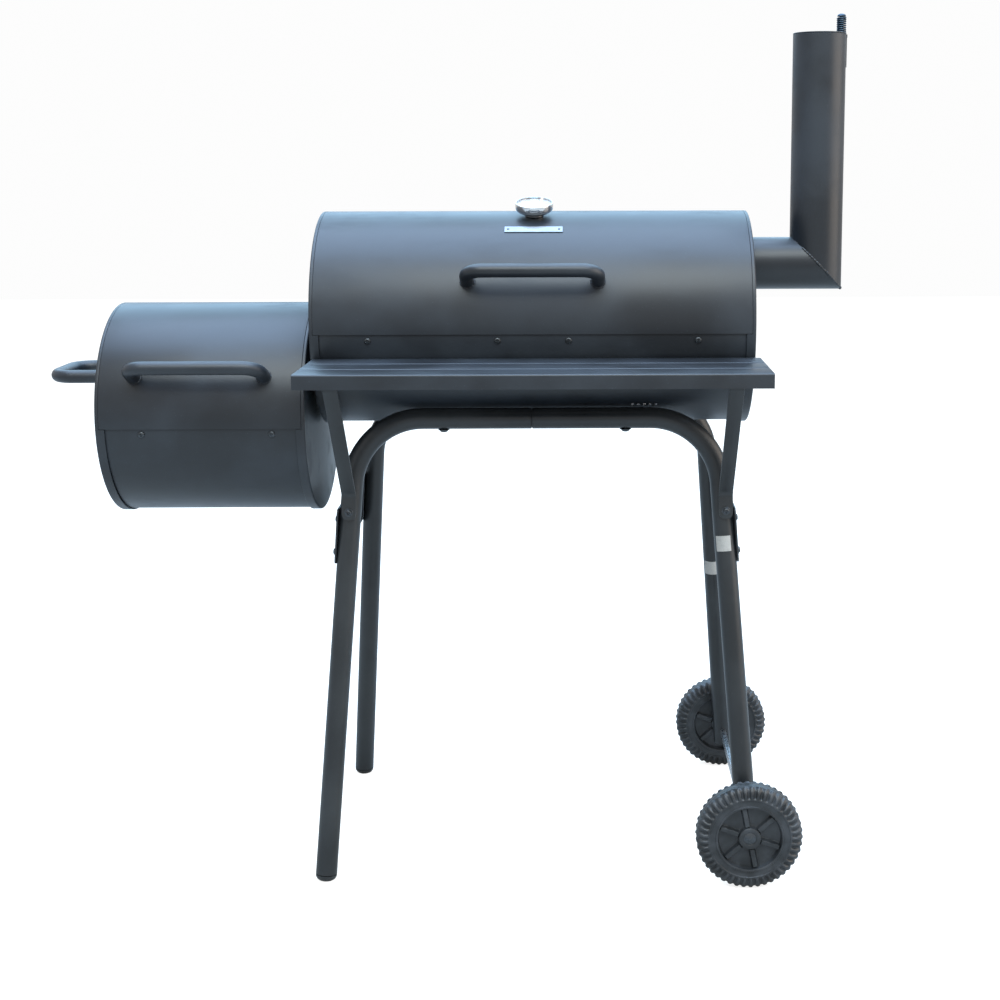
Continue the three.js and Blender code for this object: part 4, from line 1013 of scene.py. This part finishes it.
class SMOKER_OT_firebox(bpy.types.Operator):
    """Makes the firebox's shell, end discs, lid, handles, smoke collar and air shutter"""
    bl_idname = "smoker.firebox"
    bl_label = "Firebox"

    def execute(self, context):
        edge = context.scene.smoker_sizes.sheet_edge / MM
        make_piece("firebox_rolled_shell", [rolled_shell(FIREBOX, edge)], *PAINT, ["firebox_shell"])
        make_piece("firebox_rolled_lid", [rolled_lid(FIREBOX, edge)], *FIREBOX_LID_PAINT, ["firebox_lid"])
        make_piece("firebox_bent_handle", lid_handle(FIREBOX, middle_of("firebox_lid_handle")[0]),
                   *FIREBOX_LID_PAINT, ["firebox_lid_handle"])
        collar = extent("smoke_collar")
        smoke, shutter = middle_of("smoke_collar")[2], middle_of("shutter_rivet")[2]
        air_circle, air_hole, rivet_hole = 27, 10, 3.3
        turn = np.radians(np.arange(3) * 120)
        cuts = [*(plug(FIREBOX.left, air_circle * math.sin(a), shutter + air_circle * math.cos(a), air_hole)
                  for a in turn), plug(FIREBOX.left, 0, shutter, rivet_hole, 24)]
        make_piece("firebox_right_disc", [end_disc(FIREBOX, 1)], *PAINT, ["firebox_right_end"],
                   holes=[plug(FIREBOX.right, 0, smoke, SMOKE_HOLE_RADIUS)])
        make_piece("firebox_left_disc", [end_disc(FIREBOX, -1)], *PAINT, ["firebox_left_end"], holes=cuts)
        ring = rounded_loop((collar[0][0], SMOKE_HOLE_RADIUS), (collar[1][0], collar[1][1]), 0.5)
        make_piece("rolled_smoke_collar", [revolved(ring, (0, 0, smoke), X, 96, closed_profile=True)], *PAINT,
                   ["smoke_collar"])
        face = FIREBOX.left - GAP
        disc = revolved([(0, 0), (0, 43.6), (-0.4, 44), (-1.1, 44), (-1.5, 43.6), (-1.5, 0)],
                        (face, 0, shutter), X, 96)
        make_piece("rotary_air_shutter", [disc], *SHUTTER_PAINT, ["air_shutter"], holes=cuts)
        tab_root, tab_bend, tab_reach, tab_half = 26, 38.75, 12, 8
        tab, heading, _ = bent_path([(face - 0.75, tab_root, 0), (face - 0.75, tab_bend, 0),
                                     (face - tab_reach, tab_bend, 0)], 2.0, 5)
        make_piece("air_shutter_tab", [strip((tab, heading, Z), shutter - tab_half, shutter + tab_half, 1.4)],
                   *SHUTTER_PAINT)
        rivet = [(-4.0, 0), (-3.9, 3), (-3.4, 5.2), (-2.2, 6.8), (-1.9, 7), (-1.9, 3), (1.8, 3), (1.8, 6),
                 (3.2, 6), (3.6, 5), (3.6, 0)]
        make_piece("air_shutter_rivet", [revolved(rivet, (FIREBOX.left, 0, shutter), X, 36)], *ZINC,
                   ["shutter_rivet"])
        height, tip = middle_of("lifting_handle")[2], extent("lifting_handle")[0][0] + HANDLE_RADIUS
        foot, half_span, bend = FIREBOX.left - 0.2, 55, 28
        path = bent_path([(foot, -half_span, height), (tip, -half_span, height), (tip, half_span, height),
                          (foot, half_span, height)], bend, 16)
        beads = [foot_weld((foot - 0.3, y, height), Y, Z, seed) for y, seed in ((-half_span, 7), (half_span, 8))]
        make_piece("bent_lifting_handle", [tube(path, HANDLE_RADIUS, 32, start=((0, 0), (0, 1))), *beads], *PAINT,
                   ["lifting_handle"])
        return {"FINISHED"}


class SMOKER_OT_stack(bpy.types.Operator):
    """Makes the mitred stack, its weld, and the sprung flap on top"""
    bl_idname = "smoker.stack"
    bl_label = "Smoke stack"

    def execute(self, context):
        low, high = extent("stack_pipe")
        axis_x, radius = (low[0] + high[0]) / 2, (high[0] - low[0]) / 2
        mitre, top, wall, lip, seam_gap = middle_of("stack_stub")[2], high[2], 1.5, 0.35, 0.2
        bore = radius - wall
        turn = around(96)[:, None]
        # A pipe wall: rings of (radius, share of the way up), cut below by z = mitre - (x - axis).
        ring_radius = np.array([radius, radius, radius - lip, bore + lip, bore, bore])[None]
        share = np.array([0, 1, 1, 1, 1, 0])[None]
        drop = np.array([0, lip, 0, 0, lip, 0])[None]
        bottom = mitre - ring_radius * np.cos(turn) + seam_gap
        points = np.stack([axis_x + ring_radius * np.cos(turn), ring_radius * np.sin(turn),
                           bottom * (1 - share) + (top - drop) * share], axis=-1)
        make_piece("stack_rolled_pipe", [lattice(points, wrap_u=True, wrap_v=True)], *PAINT, ["stack_pipe"])
        # The stub's rings run along X and end on the same plane.
        start_x = extent("stack_stub")[0][0]
        right = axis_x - ring_radius * np.sin(turn) - seam_gap
        points = np.stack([right * (1 - share) + (start_x + drop) * share, ring_radius * np.cos(turn),
                           mitre + ring_radius * np.sin(turn)], axis=-1)
        flange = revolved([(0, radius - 0.5), (0, 46.6), (0.4, 47), (1.6, 47), (2, 46.6), (2, radius - 0.5)],
                          (BARREL.right - 3.8, 0, mitre), X, 72, closed_profile=True)
        make_piece("stack_rolled_stub", [lattice(points, wrap_u=True, wrap_v=True), flange], *PAINT,
                   ["stack_stub"])
        bead = context.scene.smoker_sizes.weld_radius / MM
        corner, side = radius - 1.4, radius - 0.6  # the bead sinks a little deeper at the sharp corner
        seam = weld_bead((axis_x, 0, mitre), (corner, 0, -corner), (0, side, 0), 1.0, bead, 11,
                         ripples=64, sides=10, steps=320)
        make_piece("stack_mitre_weld", [seam], *PAINT)

        pivot, ear_radius = middle_of("flap_pivot_bolt"), 9
        offset = math.hypot(pivot[0] - axis_x, pivot[1])
        bearing = math.atan2(pivot[1], pivot[0] - axis_x)
        flap_low, flap_high = extent("stack_flap")
        # The flap's outline from the stack's axis: the larger of its circle and the ear's far side.
        spread = math.asin(ear_radius / offset)
        turn = np.sort(np.concatenate([around(120), bearing + np.linspace(-spread, spread, 40)]) % (2 * np.pi))
        off_bearing = (turn - bearing + np.pi) % (2 * np.pi) - np.pi
        from_ear = np.clip(off_bearing, -spread, spread)
        half_chord = np.sqrt(np.clip(ear_radius ** 2 - (offset * np.sin(from_ear)) ** 2, 0, None))
        ear = offset * np.cos(from_ear) + half_chord
        reach = np.where(np.abs(off_bearing) <= spread, np.maximum(radius, ear), radius)
        outline = reach[:, None] * np.stack([np.cos(turn), np.sin(turn)], axis=1)
        flap = plate(outline, (axis_x, 0, flap_low[2]), X, Y, flap_high[2] - flap_low[2], 0.3)
        make_piece("stack_pivot_flap", [flap], *FLAP_PAINT, ["stack_flap"])

        low, high = extent("flap_bracket")
        section = rounded_loop((low[2], radius + GAP), (high[2], radius + GAP + 2), 0.4)
        wrap = revolved(section, (axis_x, 0, 0), Z, 24, reference=X, start=5, sweep=57, closed_profile=True)
        # The lug is the same ear circle, seen from the stack's axis, from its near side to its far side.
        sweep = np.linspace(-spread * 0.999, spread * 0.999, 25)
        centre_line, half_chord = offset * np.cos(sweep), np.sqrt(ear_radius ** 2 - (offset * np.sin(sweep)) ** 2)
        far, near = centre_line + half_chord, np.maximum(radius + 0.5, centre_line - half_chord)
        span = np.stack([near, far, far, near], axis=1)
        lug_sheet = 2.5
        level = np.array([high[2] - lug_sheet, high[2] - lug_sheet, high[2], high[2]])[None] + 0 * span
        angle = (bearing + sweep)[:, None]
        lug = lattice(np.stack([axis_x + span * np.cos(angle), span * np.sin(angle), level], axis=-1),
                      wrap_v=True, caps=True)
        make_piece("flap_bracket_strap", [wrap, lug], *PAINT, ["flap_bracket"])

        bolt_base = np.array([pivot[0], pivot[1], 0])
        spring_low, spring_high = extent("flap_spring")
        crown = spring_high[2] + 0.3
        nut = high[2]
        bolt = [(nut - 10, 0), (nut - 10, 2.6), (nut - 9.4, 3), (nut - 6.5, 3), (nut - 6.5, 5.4), (nut - 3, 5.4),
                (nut - 3, 3), (crown, 3), (crown, 6.1), (crown + 0.4, 6.4), (crown + 1.6, 6.2),
                (crown + 2.8, 5.2), (crown + 3.7, 3.4), (crown + 4.2, 1.6), (crown + 4.3, 0)]
        make_piece("flap_sprung_bolt", [revolved(bolt, bolt_base, Z, 36)], *SPRING, ["flap_pivot_bolt"])
        # A round wire along a helix (r cos a, r sin a, rise), on its own outward and upward normals; the rise
        # is mostly even in the angle, with its ends a little closer wound.
        wire, coil, turns = 1.35, 5.75, 8.0
        wound = turns * 2 * np.pi
        a = np.linspace(0, wound, int(turns * 28))[:, None]
        rise = smoothstep(a, 0, wound) * 0.15 + (a / wound) * 0.85
        tall = spring_high[2] - spring_low[2] - 2 * wire
        level = spring_low[2] + wire + rise * tall
        path = bolt_base + np.concatenate([coil * np.cos(a), coil * np.sin(a), level], 1)
        radial = np.concatenate([np.cos(a), np.sin(a), 0 * a], 1)
        ring = around(10)
        solid = path[:, None] + wire * (np.cos(ring)[None, :, None] * radial[:, None]
                                        + np.sin(ring)[None, :, None] * Z)
        make_piece("flap_coil_spring", [lattice(solid, wrap_v=True, caps=True)], *SPRING, ["flap_spring"])
        return {"FINISHED"}


# ---------------------------------------------------------------- stand


def leg_point(side_x, side_y, height):
    """A point of a leg's centre line: it leans inwards as it rises from the ground to the bar."""
    share = height / BAR_HEIGHT
    return np.array([STAND_MIDDLE + side_x * (LEG_SPREAD - LEG_LEAN * share),
                     side_y * (BAR_OUT + FOOT_OUT * (1 - share)), height])


def side_frame(side_x):
    """Unit vectors up and out of the plane of a side's two legs."""
    lean = math.atan2(LEG_LEAN, BAR_HEIGHT)
    return (np.array([-side_x * math.sin(lean), 0, math.cos(lean)]),
            np.array([side_x * math.cos(lean), 0, math.sin(lean)]))


def strap_line(height):
    """Where a shelf strap's middle lies in Y, against the front of the legs at a height."""
    return leg_point(1, -1, height)[1] - LEG_RADIUS - GAP - STRAP_OFF


class SMOKER_OT_stand(bpy.types.Operator):
    """Makes the bent tube frames, foot plugs, side plates and shelf supports"""
    bl_idname = "smoker.stand"
    bl_label = "Stand"

    def execute(self, context):
        bend = 100
        for row, side_y in (("front", -1), ("rear", 1)):
            for column, side_x, end in (("left", -1, 8), ("right", 1, 52)):
                joint = np.array([BAR_JOINT + side_x * 0.5, side_y * BAR_OUT, BAR_HEIGHT])
                path = bent_path([leg_point(side_x, side_y, end), leg_point(side_x, side_y, BAR_HEIGHT), joint],
                                 bend, 20)
                parts = [tube(path, LEG_RADIUS, 40, start=((0, 0), (0, 0.92), (0.8, 1)),
                              end=((0, 0), (0, 0.95), (0.5, 1)))]
                if side_x < 0:
                    swage = [(-1, 0), (-1, 13.6), (3, 13.6), (3, 0)]
                    parts.append(revolved(swage, joint, X, 36))
                make_piece(f"{row}_{column}_bent_tube", parts, *STAND, [f"{row}_{column}_leg"])
            up = unit(leg_point(-1, side_y, 100) - leg_point(-1, side_y, 0))
            profile = [(-10, 0), (-9.6, 6), (-8.4, 10), (-6.4, 12.8), (-3.6, 14.6), (-0.4, 15), (-0.2, 13),
                       (10, 12.8), (10, 0)]
            points, quads, ends = revolved(profile, leg_point(-1, side_y, 8), up, 40)
            points[:, 2] = np.maximum(points[:, 2], 0)  # worn flat on the ground
            make_piece(f"{row}_foot_moulding", [(points, quads, ends)], "polyethylene_foot", "smoker_body",
                       "black_plastic", [f"{row}_foot_plug"])
        for name, side_x in (("left", -1), ("right", 1)):
            up, out = side_frame(side_x)
            height = middle_of(f"{name}_side_plate")[2]
            base = leg_point(side_x, 1, height) * (1, 0, 1) + out * (LEG_RADIUS + GAP)
            outline = rounded_loop((-139, -40), (139, 40), 7, 6)
            u, v = (Y, up) if np.cross(Y, up).dot(out) > 0 else (-Y, up)
            make_piece(f"{name}_stand_plate", [plate(outline, base, u, v, PLATE_SHEET, 0.5)], *STAND,
                       [f"{name}_side_plate"])
            x = middle_of(f"{name}_shelf_support")[0]
            # The strap stands on the leg, leans out to the shelf's front slat and ends in a lip behind the rear.
            foot, full, knee, under = 510, 520, 547, 720.7
            points, heading, _ = bent_path(
                [(0, strap_line(full), full), (0, strap_line(knee), knee), (0, -272.5, under),
                 (0, -141.5, under), (0, -128.5, under - 23)], [14, 4.5, 5], 6)
            # Its foot is a half circle: the half width is r sqrt(1 - (1 - s)^2) over the first r of its height.
            half = full - foot
            share = np.linspace(0, 1, 7)[:-1]
            start = strap_line(foot) + (strap_line(full) - strap_line(foot)) * share
            low_end = np.stack([0 * share, start, foot + half * share], axis=1)
            taper = np.concatenate([np.sqrt(1 - (1 - share) ** 2) * 0.97 + 0.03, np.ones(len(points))])
            heading = np.concatenate([np.repeat(heading[:1], len(low_end), 0), heading])
            path = np.concatenate([low_end, points]), heading, X
            make_piece(f"{name}_shelf_strap", [strip(path, x - half, x + half, 3, 0.5, taper)], *STAND,
                       [f"{name}_shelf_support"])
        return {"FINISHED"}


class SMOKER_OT_shelf(bpy.types.Operator):
    """Makes the three folded slats of the front shelf"""
    bl_idname = "smoker.shelf"
    bl_label = "Shelf"

    def execute(self, context):
        bend, sheet = context.scene.smoker_sizes.slat_bend / MM, 1.5
        for name in ("front", "middle", "rear"):
            low, high = extent(f"shelf_slat_{name}")
            front, rear, level = low[1] + sheet / 2, high[1] - sheet / 2, high[2] - sheet / 2
            path = bent_path([(0, front, low[2]), (0, front, level), (0, rear, level), (0, rear, low[2])],
                             bend - sheet / 2, 6)
            ends = np.sort([path[2][0] * low[0], path[2][0] * high[0]])
            make_piece(f"{name}_folded_slat", [strip(path, *ends, sheet, 0.4)], *PAINT, [f"shelf_slat_{name}"])
        return {"FINISHED"}


# ---------------------------------------------------------------- wheels

def moulded_wheel(centre, side_y, lugs, spokes, spoke_turn):
    """A wheel as rings of (radius, depth below a face), from one face's middle, over the tread, to the other's.

    Lugs lift the shoulders and tread by a smoothed square wave in the angle, and spokes lift the recessed
    web where a point lies near a spoke's line."""
    turn = around(lugs * 8)[:, None]
    width, tyre, web = 35.0, 75.0, 10.5
    # One face from the middle outwards: radius and depth below the side wall's plane.
    hub = [[0, 6.5], [5.0, 6.5], [5.2, 5.0], [8.3, 4.6], [8.6, 1.8], [9.3, 1.2], [14.4, 1.2], [15.3, 1.9],
           [15.6, 5.0], [16.2, web - 0.4], [17.2, web]]
    floor = [[at, web] for at in range(20, 42, 3)] + [[43.2, web - 0.3], [44.2, web - 2]]
    rim = [[44.8, 3.2], [45.2, 0.7], [46.2, 0.1], [47.8, 0.1], [48.4, 1.0], [50.0, 1.3], [53.8, 1.3],
           [55.8, 1.0], [56.4, 0.2], [57.6, 0.0], [59.0, 0.6], [60.0, 0.9], [64, 1.3], [68, 2.6], [70.6, 4.2],
           [72.2, 5.8], [73.2, 7.2]]
    tread = np.array([[73.8, 9.0], [73.9, 11.0], [73.4, 12.0], [73.4, 14.0], [73.9, 15.0], [74.0, 17.5]])
    half = np.concatenate([hub, floor, rim, tread])
    radius = np.concatenate([half[:, 0], half[::-1, 0][1:]])[None]
    depth = np.concatenate([half[:, 1], width - half[::-1, 1][1:]])[None]
    outer_side = np.arange(radius.shape[1])[None] < len(half)
    # The two shoulders' lugs are half a pitch apart; between them runs a plain groove.
    wave = np.where(outer_side, np.cos(lugs * turn), np.cos(lugs * turn + np.pi))
    raised = smoothstep(wave, -0.3, 0.2)
    inward = np.where(outer_side, 1.0, -1.0)
    groove = smoothstep(np.minimum(depth, width - depth), 9.5, 11.5)
    on_shoulder = smoothstep(radius, 58.5, 60.5) * (1 - groove)
    lift = (raised - 0.5) * on_shoulder
    flat = 1 - smoothstep(radius, 66, 73)
    lug_depth, lug_base, lug_height = 3.4, 1.2, 2.2
    sunk = (lift - 0.5 * on_shoulder) * lug_depth + on_shoulder * lug_base
    moved_depth = depth - inward * sunk * flat
    moved_radius = np.minimum(radius + lift * lug_height * (1 - flat), tyre)
    # Spokes: distance from each spoke's line, smoothed into a rounded rib on the web.
    phase = (turn - spoke_turn + np.pi / spokes) % (2 * np.pi / spokes) - np.pi / spokes
    off_line = np.abs(radius * np.sin(phase))
    between = smoothstep(radius, 15.7, 16.4) * (1 - smoothstep(radius, 43.4, 44.4))
    rib = (1 - smoothstep(off_line, 2.9, 4.7)) * between
    rib_height = 7.6 - 1.4 * smoothstep(radius, 18, 43)
    moved_depth = moved_depth - inward * rib * rib_height
    across = moved_radius * np.cos(turn)
    points = np.stack([centre[0] + across, centre[1] + side_y * (width / 2 - moved_depth) + 0 * across,
                       centre[2] + moved_radius * np.sin(turn)], axis=-1)
    return lattice(points, wrap_u=True)


class SMOKER_OT_wheels(bpy.types.Operator):
    """Makes the two moulded wheels, the axle and its caps"""
    bl_idname = "smoker.wheels"
    bl_label = "Wheels"

    def execute(self, context):
        sizes = context.scene.smoker_sizes
        for row, side_y in (("front", -1), ("rear", 1)):
            wheel = moulded_wheel(middle_of(f"{row}_wheel"), side_y, sizes.tread_lugs, sizes.wheel_spokes,
                                  sizes.spoke_turn)
            make_piece(f"{row}_moulded_wheel", [wheel], "moulded_polypropylene", f"{row}_wheel",
                       "wheel_plastic", [f"{row}_wheel"], crease=42)
            cap_middle = middle_of(f"{row}_axle_cap")
            tip = extent(f"{row}_axle_cap")[1 if side_y > 0 else 0][1]
            cap = [(0, 0), (-0.1, 1.6), (-0.5, 2.6), (-0.9, 4.2), (-1.5, 7.0), (-2.4, 8.6), (-4.2, 9),
                   (-5.6, 9), (-5.6, 0)]
            make_piece(f"{row}_push_cap", [revolved(cap, (cap_middle[0], tip, cap_middle[2]), Y * side_y, 40)],
                       *OXIDE, [f"{row}_axle_cap"])
        low, high = extent("wheel_axle")
        reach, radius, chamfer = (high[1] - low[1]) / 2, 5, 0.6
        rod = [(-reach, 0), (-reach, radius - chamfer), (-reach + chamfer, radius), (reach - chamfer, radius),
               (reach, radius - chamfer), (reach, 0)]
        make_piece("drawn_wheel_axle", [revolved(rod, (low + high) / 2, Y, 32)], *ZINC, ["wheel_axle"])
        return {"FINISHED"}


# ---------------------------------------------------------------- fasteners and labels

class SMOKER_OT_fasteners(bpy.types.Operator):
    """Makes the screws, bolts and their washers"""
    bl_idname = "smoker.fasteners"
    bl_label = "Fasteners"

    def execute(self, context):
        sizes = context.scene.smoker_sizes
        head, bolt = sizes.screw_radius / MM, sizes.bolt_radius / MM
        rise, sink = 2.4, 0.1  # a screw head's rise, and how deep it sits in its washer
        # The shell screws hold the grate ledges: their places in X, and their angle from the back.
        for drum, name, places, angle in ((BARREL, "barrel", (-228, -49, 49, 228), 186.6),
                                          (FIREBOX, "firebox", (-545, -364), 186.2)):
            face = drum.radius - SHELL_DROP
            for side, around_drum in (("front", angle), ("rear", 540 - angle)):
                out = out_of_drum(around_drum)
                heads = [screw_head(drum_point(drum, x, face, around_drum), out, head, rise) for x in places]
                make_piece(f"{name}_{side}_shell_screws", heads, *OXIDE)
        below_bar = BAR_HEIGHT - LEG_RADIUS - 0.4
        for row, side_y in (("front", -1), ("rear", 1)):
            heads = [part for x in (-129, 129) for part in (
                washer((x, side_y * BAR_OUT, below_bar), -Z, 8, 1.0),
                screw_head((x, side_y * BAR_OUT, below_bar - 0.8), -Z, bolt, 3.2, cross=False))]
            make_piece(f"{row}_bar_bolts", heads, *OXIDE)
        strap_screw, strap_sheet, thin = 522, 3.0, 0.8
        for name in ("left", "right"):
            x = middle_of(f"{name}_shelf_support")[0]
            face = strap_line(strap_screw) - strap_sheet / 2
            make_piece(f"{name}_strap_screw", [washer((x, face, strap_screw), -Y, 6.2, thin),
                       screw_head((x, face - thin + sink, strap_screw), -Y, head, 2.6)], *OXIDE)
        for name, side_x in (("left", -1), ("right", 1)):
            out, heads = side_frame(side_x)[1], []
            for height in (462, 508):
                for side_y in (-1, 1):
                    base = leg_point(side_x, side_y, height) + out * (LEG_RADIUS + GAP + PLATE_SHEET)
                    heads += [washer(base, out, 6.4, thin),
                              screw_head(base + out * (thin - sink), out, head, rise)]
            make_piece(f"{name}_plate_screws", heads, *OXIDE)
        return {"FINISHED"}


class SMOKER_OT_labels(bpy.types.Operator):
    """Makes the two blank paper labels stuck round the right legs"""
    bl_idname = "smoker.labels"
    bl_label = "Labels"

    def execute(self, context):
        half_width, paper = 11, 0.2
        section = rounded_loop((-half_width, LEG_RADIUS + 0.05), (half_width, LEG_RADIUS + 0.05 + paper), 0.08, 1)
        for row, side_y, height, start, sweep in (("front", -1, 473.5, 212, 86), ("rear", 1, 367, 205, 84)):
            up = unit(leg_point(1, side_y, BAR_HEIGHT) - leg_point(1, side_y, 0))
            sheet = revolved(section, leg_point(1, side_y, height), up, 24, reference=X, start=start,
                             sweep=sweep, closed_profile=True)
            make_piece(f"{row}_leg_label", [sheet], "label_paper", "smoker_body", "stand_paint")
        return {"FINISHED"}


# ---------------------------------------------------------------- stage

class SMOKER_OT_stage(bpy.types.Operator):
    """Makes the pale floor, the soft panels and the camera"""
    bl_idname = "smoker.stage"
    bl_label = "Stage"

    def execute(self, context):
        scene, stage = context.scene, context.scene.smoker_stage
        half, below = 9.0, 0.0005  # metres
        edge = np.linspace(-half, half, 13)
        grid_x, grid_y = np.meshgrid(edge, edge, indexing="ij")
        vertices, quads, _ = lattice(np.stack([grid_x, grid_y, 0 * grid_x - below], axis=-1))
        mesh = bpy.data.meshes.new("studio_floor")
        mesh.from_pydata(vertices, [], quads.tolist())
        if mesh.polygons[0].normal.z < 0:
            mesh.flip_normals()
        mesh.materials.append(finished("pale_floor"))
        floor = bpy.data.objects.new("studio_floor", mesh)
        scene.collection.objects.link(floor)

        world = bpy.data.worlds.new("pale_surround")
        scene.world = world
        world.use_nodes = True
        tree = world.node_tree
        tree.nodes.clear()
        # The surround looks white and lights the object only as strongly as the fill says.
        seen = add(tree, "ShaderNodeLightPath").outputs["Is Camera Ray"]
        dim = add(tree, "ShaderNodeBackground", values={"Color": (1, 1, 1, 1), "Strength": stage.fill})
        white = add(tree, "ShaderNodeBackground", values={"Color": (1, 1, 1, 1), "Strength": 0.98})
        mixed = add(tree, "ShaderNodeMixShader", {0: seen, 1: dim.outputs[0], 2: white.outputs[0]})
        add(tree, "ShaderNodeOutputWorld", {"Surface": mixed.outputs[0]})

        # Each panel's power, linear tint, size, place and the height it is aimed at, in metres.
        panels = (("back_panel", stage.back_power, (0.36, 0.69, 1.0), (7, 3), (0, 3.4, 3.2), 0.8),
                  ("top_panel", stage.top_power, (0.48, 0.69, 1.0), (5, 3), (0, 0.2, 4.0), 0.8),
                  ("front_panel", stage.front_power, (0.88, 0.98, 1.0), (4, 1.8), (0.2, -2.4, 3.4), 0.8),
                  ("side_panel", stage.side_power, (1.0, 0.88, 0.76), (3.5, 3), (4.2, -0.8, 1.8), 0.7))
        for name, power, tint, size, place, aim in panels:
            data = bpy.data.lights.new(name, "AREA")
            data.shape, data.size, data.size_y = "RECTANGLE", *size
            data.energy, data.color = power, tint
            lamp = bpy.data.objects.new(name, data)
            lamp.visible_camera = False
            scene.collection.objects.link(lamp)
            start, end = np.array(place) + ORIGIN, np.array([0, 0, aim]) + ORIGIN
            back = unit(start - end)
            right = unit(np.cross(Z if abs(back[2]) < 0.99 else Y, back))
            turn = np.column_stack([right, np.cross(back, right), back])
            lamp.matrix_world = Matrix.LocRotScale(start, Matrix(turn.tolist()), None)

        camera = bpy.data.cameras.new("studio_camera")
        camera.lens, camera.sensor_width = stage.lens, 36.0
        camera.shift_x, camera.shift_y = stage.shift_x, stage.shift_y
        camera.clip_start, camera.clip_end = 0.05, 60.0
        seat = bpy.data.objects.new("studio_camera", camera)
        scene.collection.objects.link(seat)
        yaw, pitch, roll = stage.yaw, stage.pitch, stage.roll
        right = np.array([math.cos(yaw), -math.sin(yaw), 0])
        ahead = np.array([math.sin(yaw) * math.cos(pitch), math.cos(yaw) * math.cos(pitch), -math.sin(pitch)])
        up = np.cross(right, ahead)
        right, up = (math.cos(roll) * right + math.sin(roll) * up, math.cos(roll) * up - math.sin(roll) * right)
        turn = Matrix(np.column_stack([right, up, -ahead]).tolist())
        place = ORIGIN + np.array(stage.camera_place)
        seat.matrix_world = Matrix.LocRotScale(place, turn, None)
        scene.camera = seat
        scene.view_settings.view_transform = "Standard"
        return {"FINISHED"}


# ---------------------------------------------------------------- panel and registration

OPERATORS = (SMOKER_OT_barrel, SMOKER_OT_cooking_fittings, SMOKER_OT_barrel_lid, SMOKER_OT_thermometer,
             SMOKER_OT_hinges, SMOKER_OT_firebox, SMOKER_OT_stack, SMOKER_OT_stand, SMOKER_OT_shelf,
             SMOKER_OT_wheels, SMOKER_OT_fasteners, SMOKER_OT_labels, SMOKER_OT_stage)


class SMOKER_PT_panel(bpy.types.Panel):
    """Lists the pieces in the order they are made"""
    bl_idname = "SMOKER_PT_panel"
    bl_label = "Offset Smoker"
    bl_space_type = "VIEW_3D"
    bl_region_type = "UI"
    bl_category = "Smoker"

    def draw(self, context):
        for operator in OPERATORS:
            self.layout.operator(operator.bl_idname)
        for group in (context.scene.smoker_finishes, context.scene.smoker_sizes, context.scene.smoker_stage):
            for key in group.bl_rna.properties.keys():
                if key not in ("rna_type", "name"):
                    self.layout.prop(group, key)


GROUPS = (("smoker_finishes", SmokerFinishes), ("smoker_sizes", SmokerSizes), ("smoker_stage", SmokerStage))
CLASSES = (*(group for _, group in GROUPS), *OPERATORS, SMOKER_PT_panel)


def register():
    """Registers every class, then hangs the property groups on the scene."""
    for made in CLASSES:
        bpy.utils.register_class(made)
    for key, group in GROUPS:
        setattr(bpy.types.Scene, key, PointerProperty(type=group))


def unregister():
    for key, _ in GROUPS:
        delattr(bpy.types.Scene, key)
    for made in reversed(CLASSES):
        bpy.utils.unregister_class(made)


def main():
    """Registers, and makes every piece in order."""
    register()
    for operator in OPERATORS:
        family, name = operator.bl_idname.split(".")
        getattr(getattr(bpy.ops, family), name)()


if __name__ == "__main__":
    main()
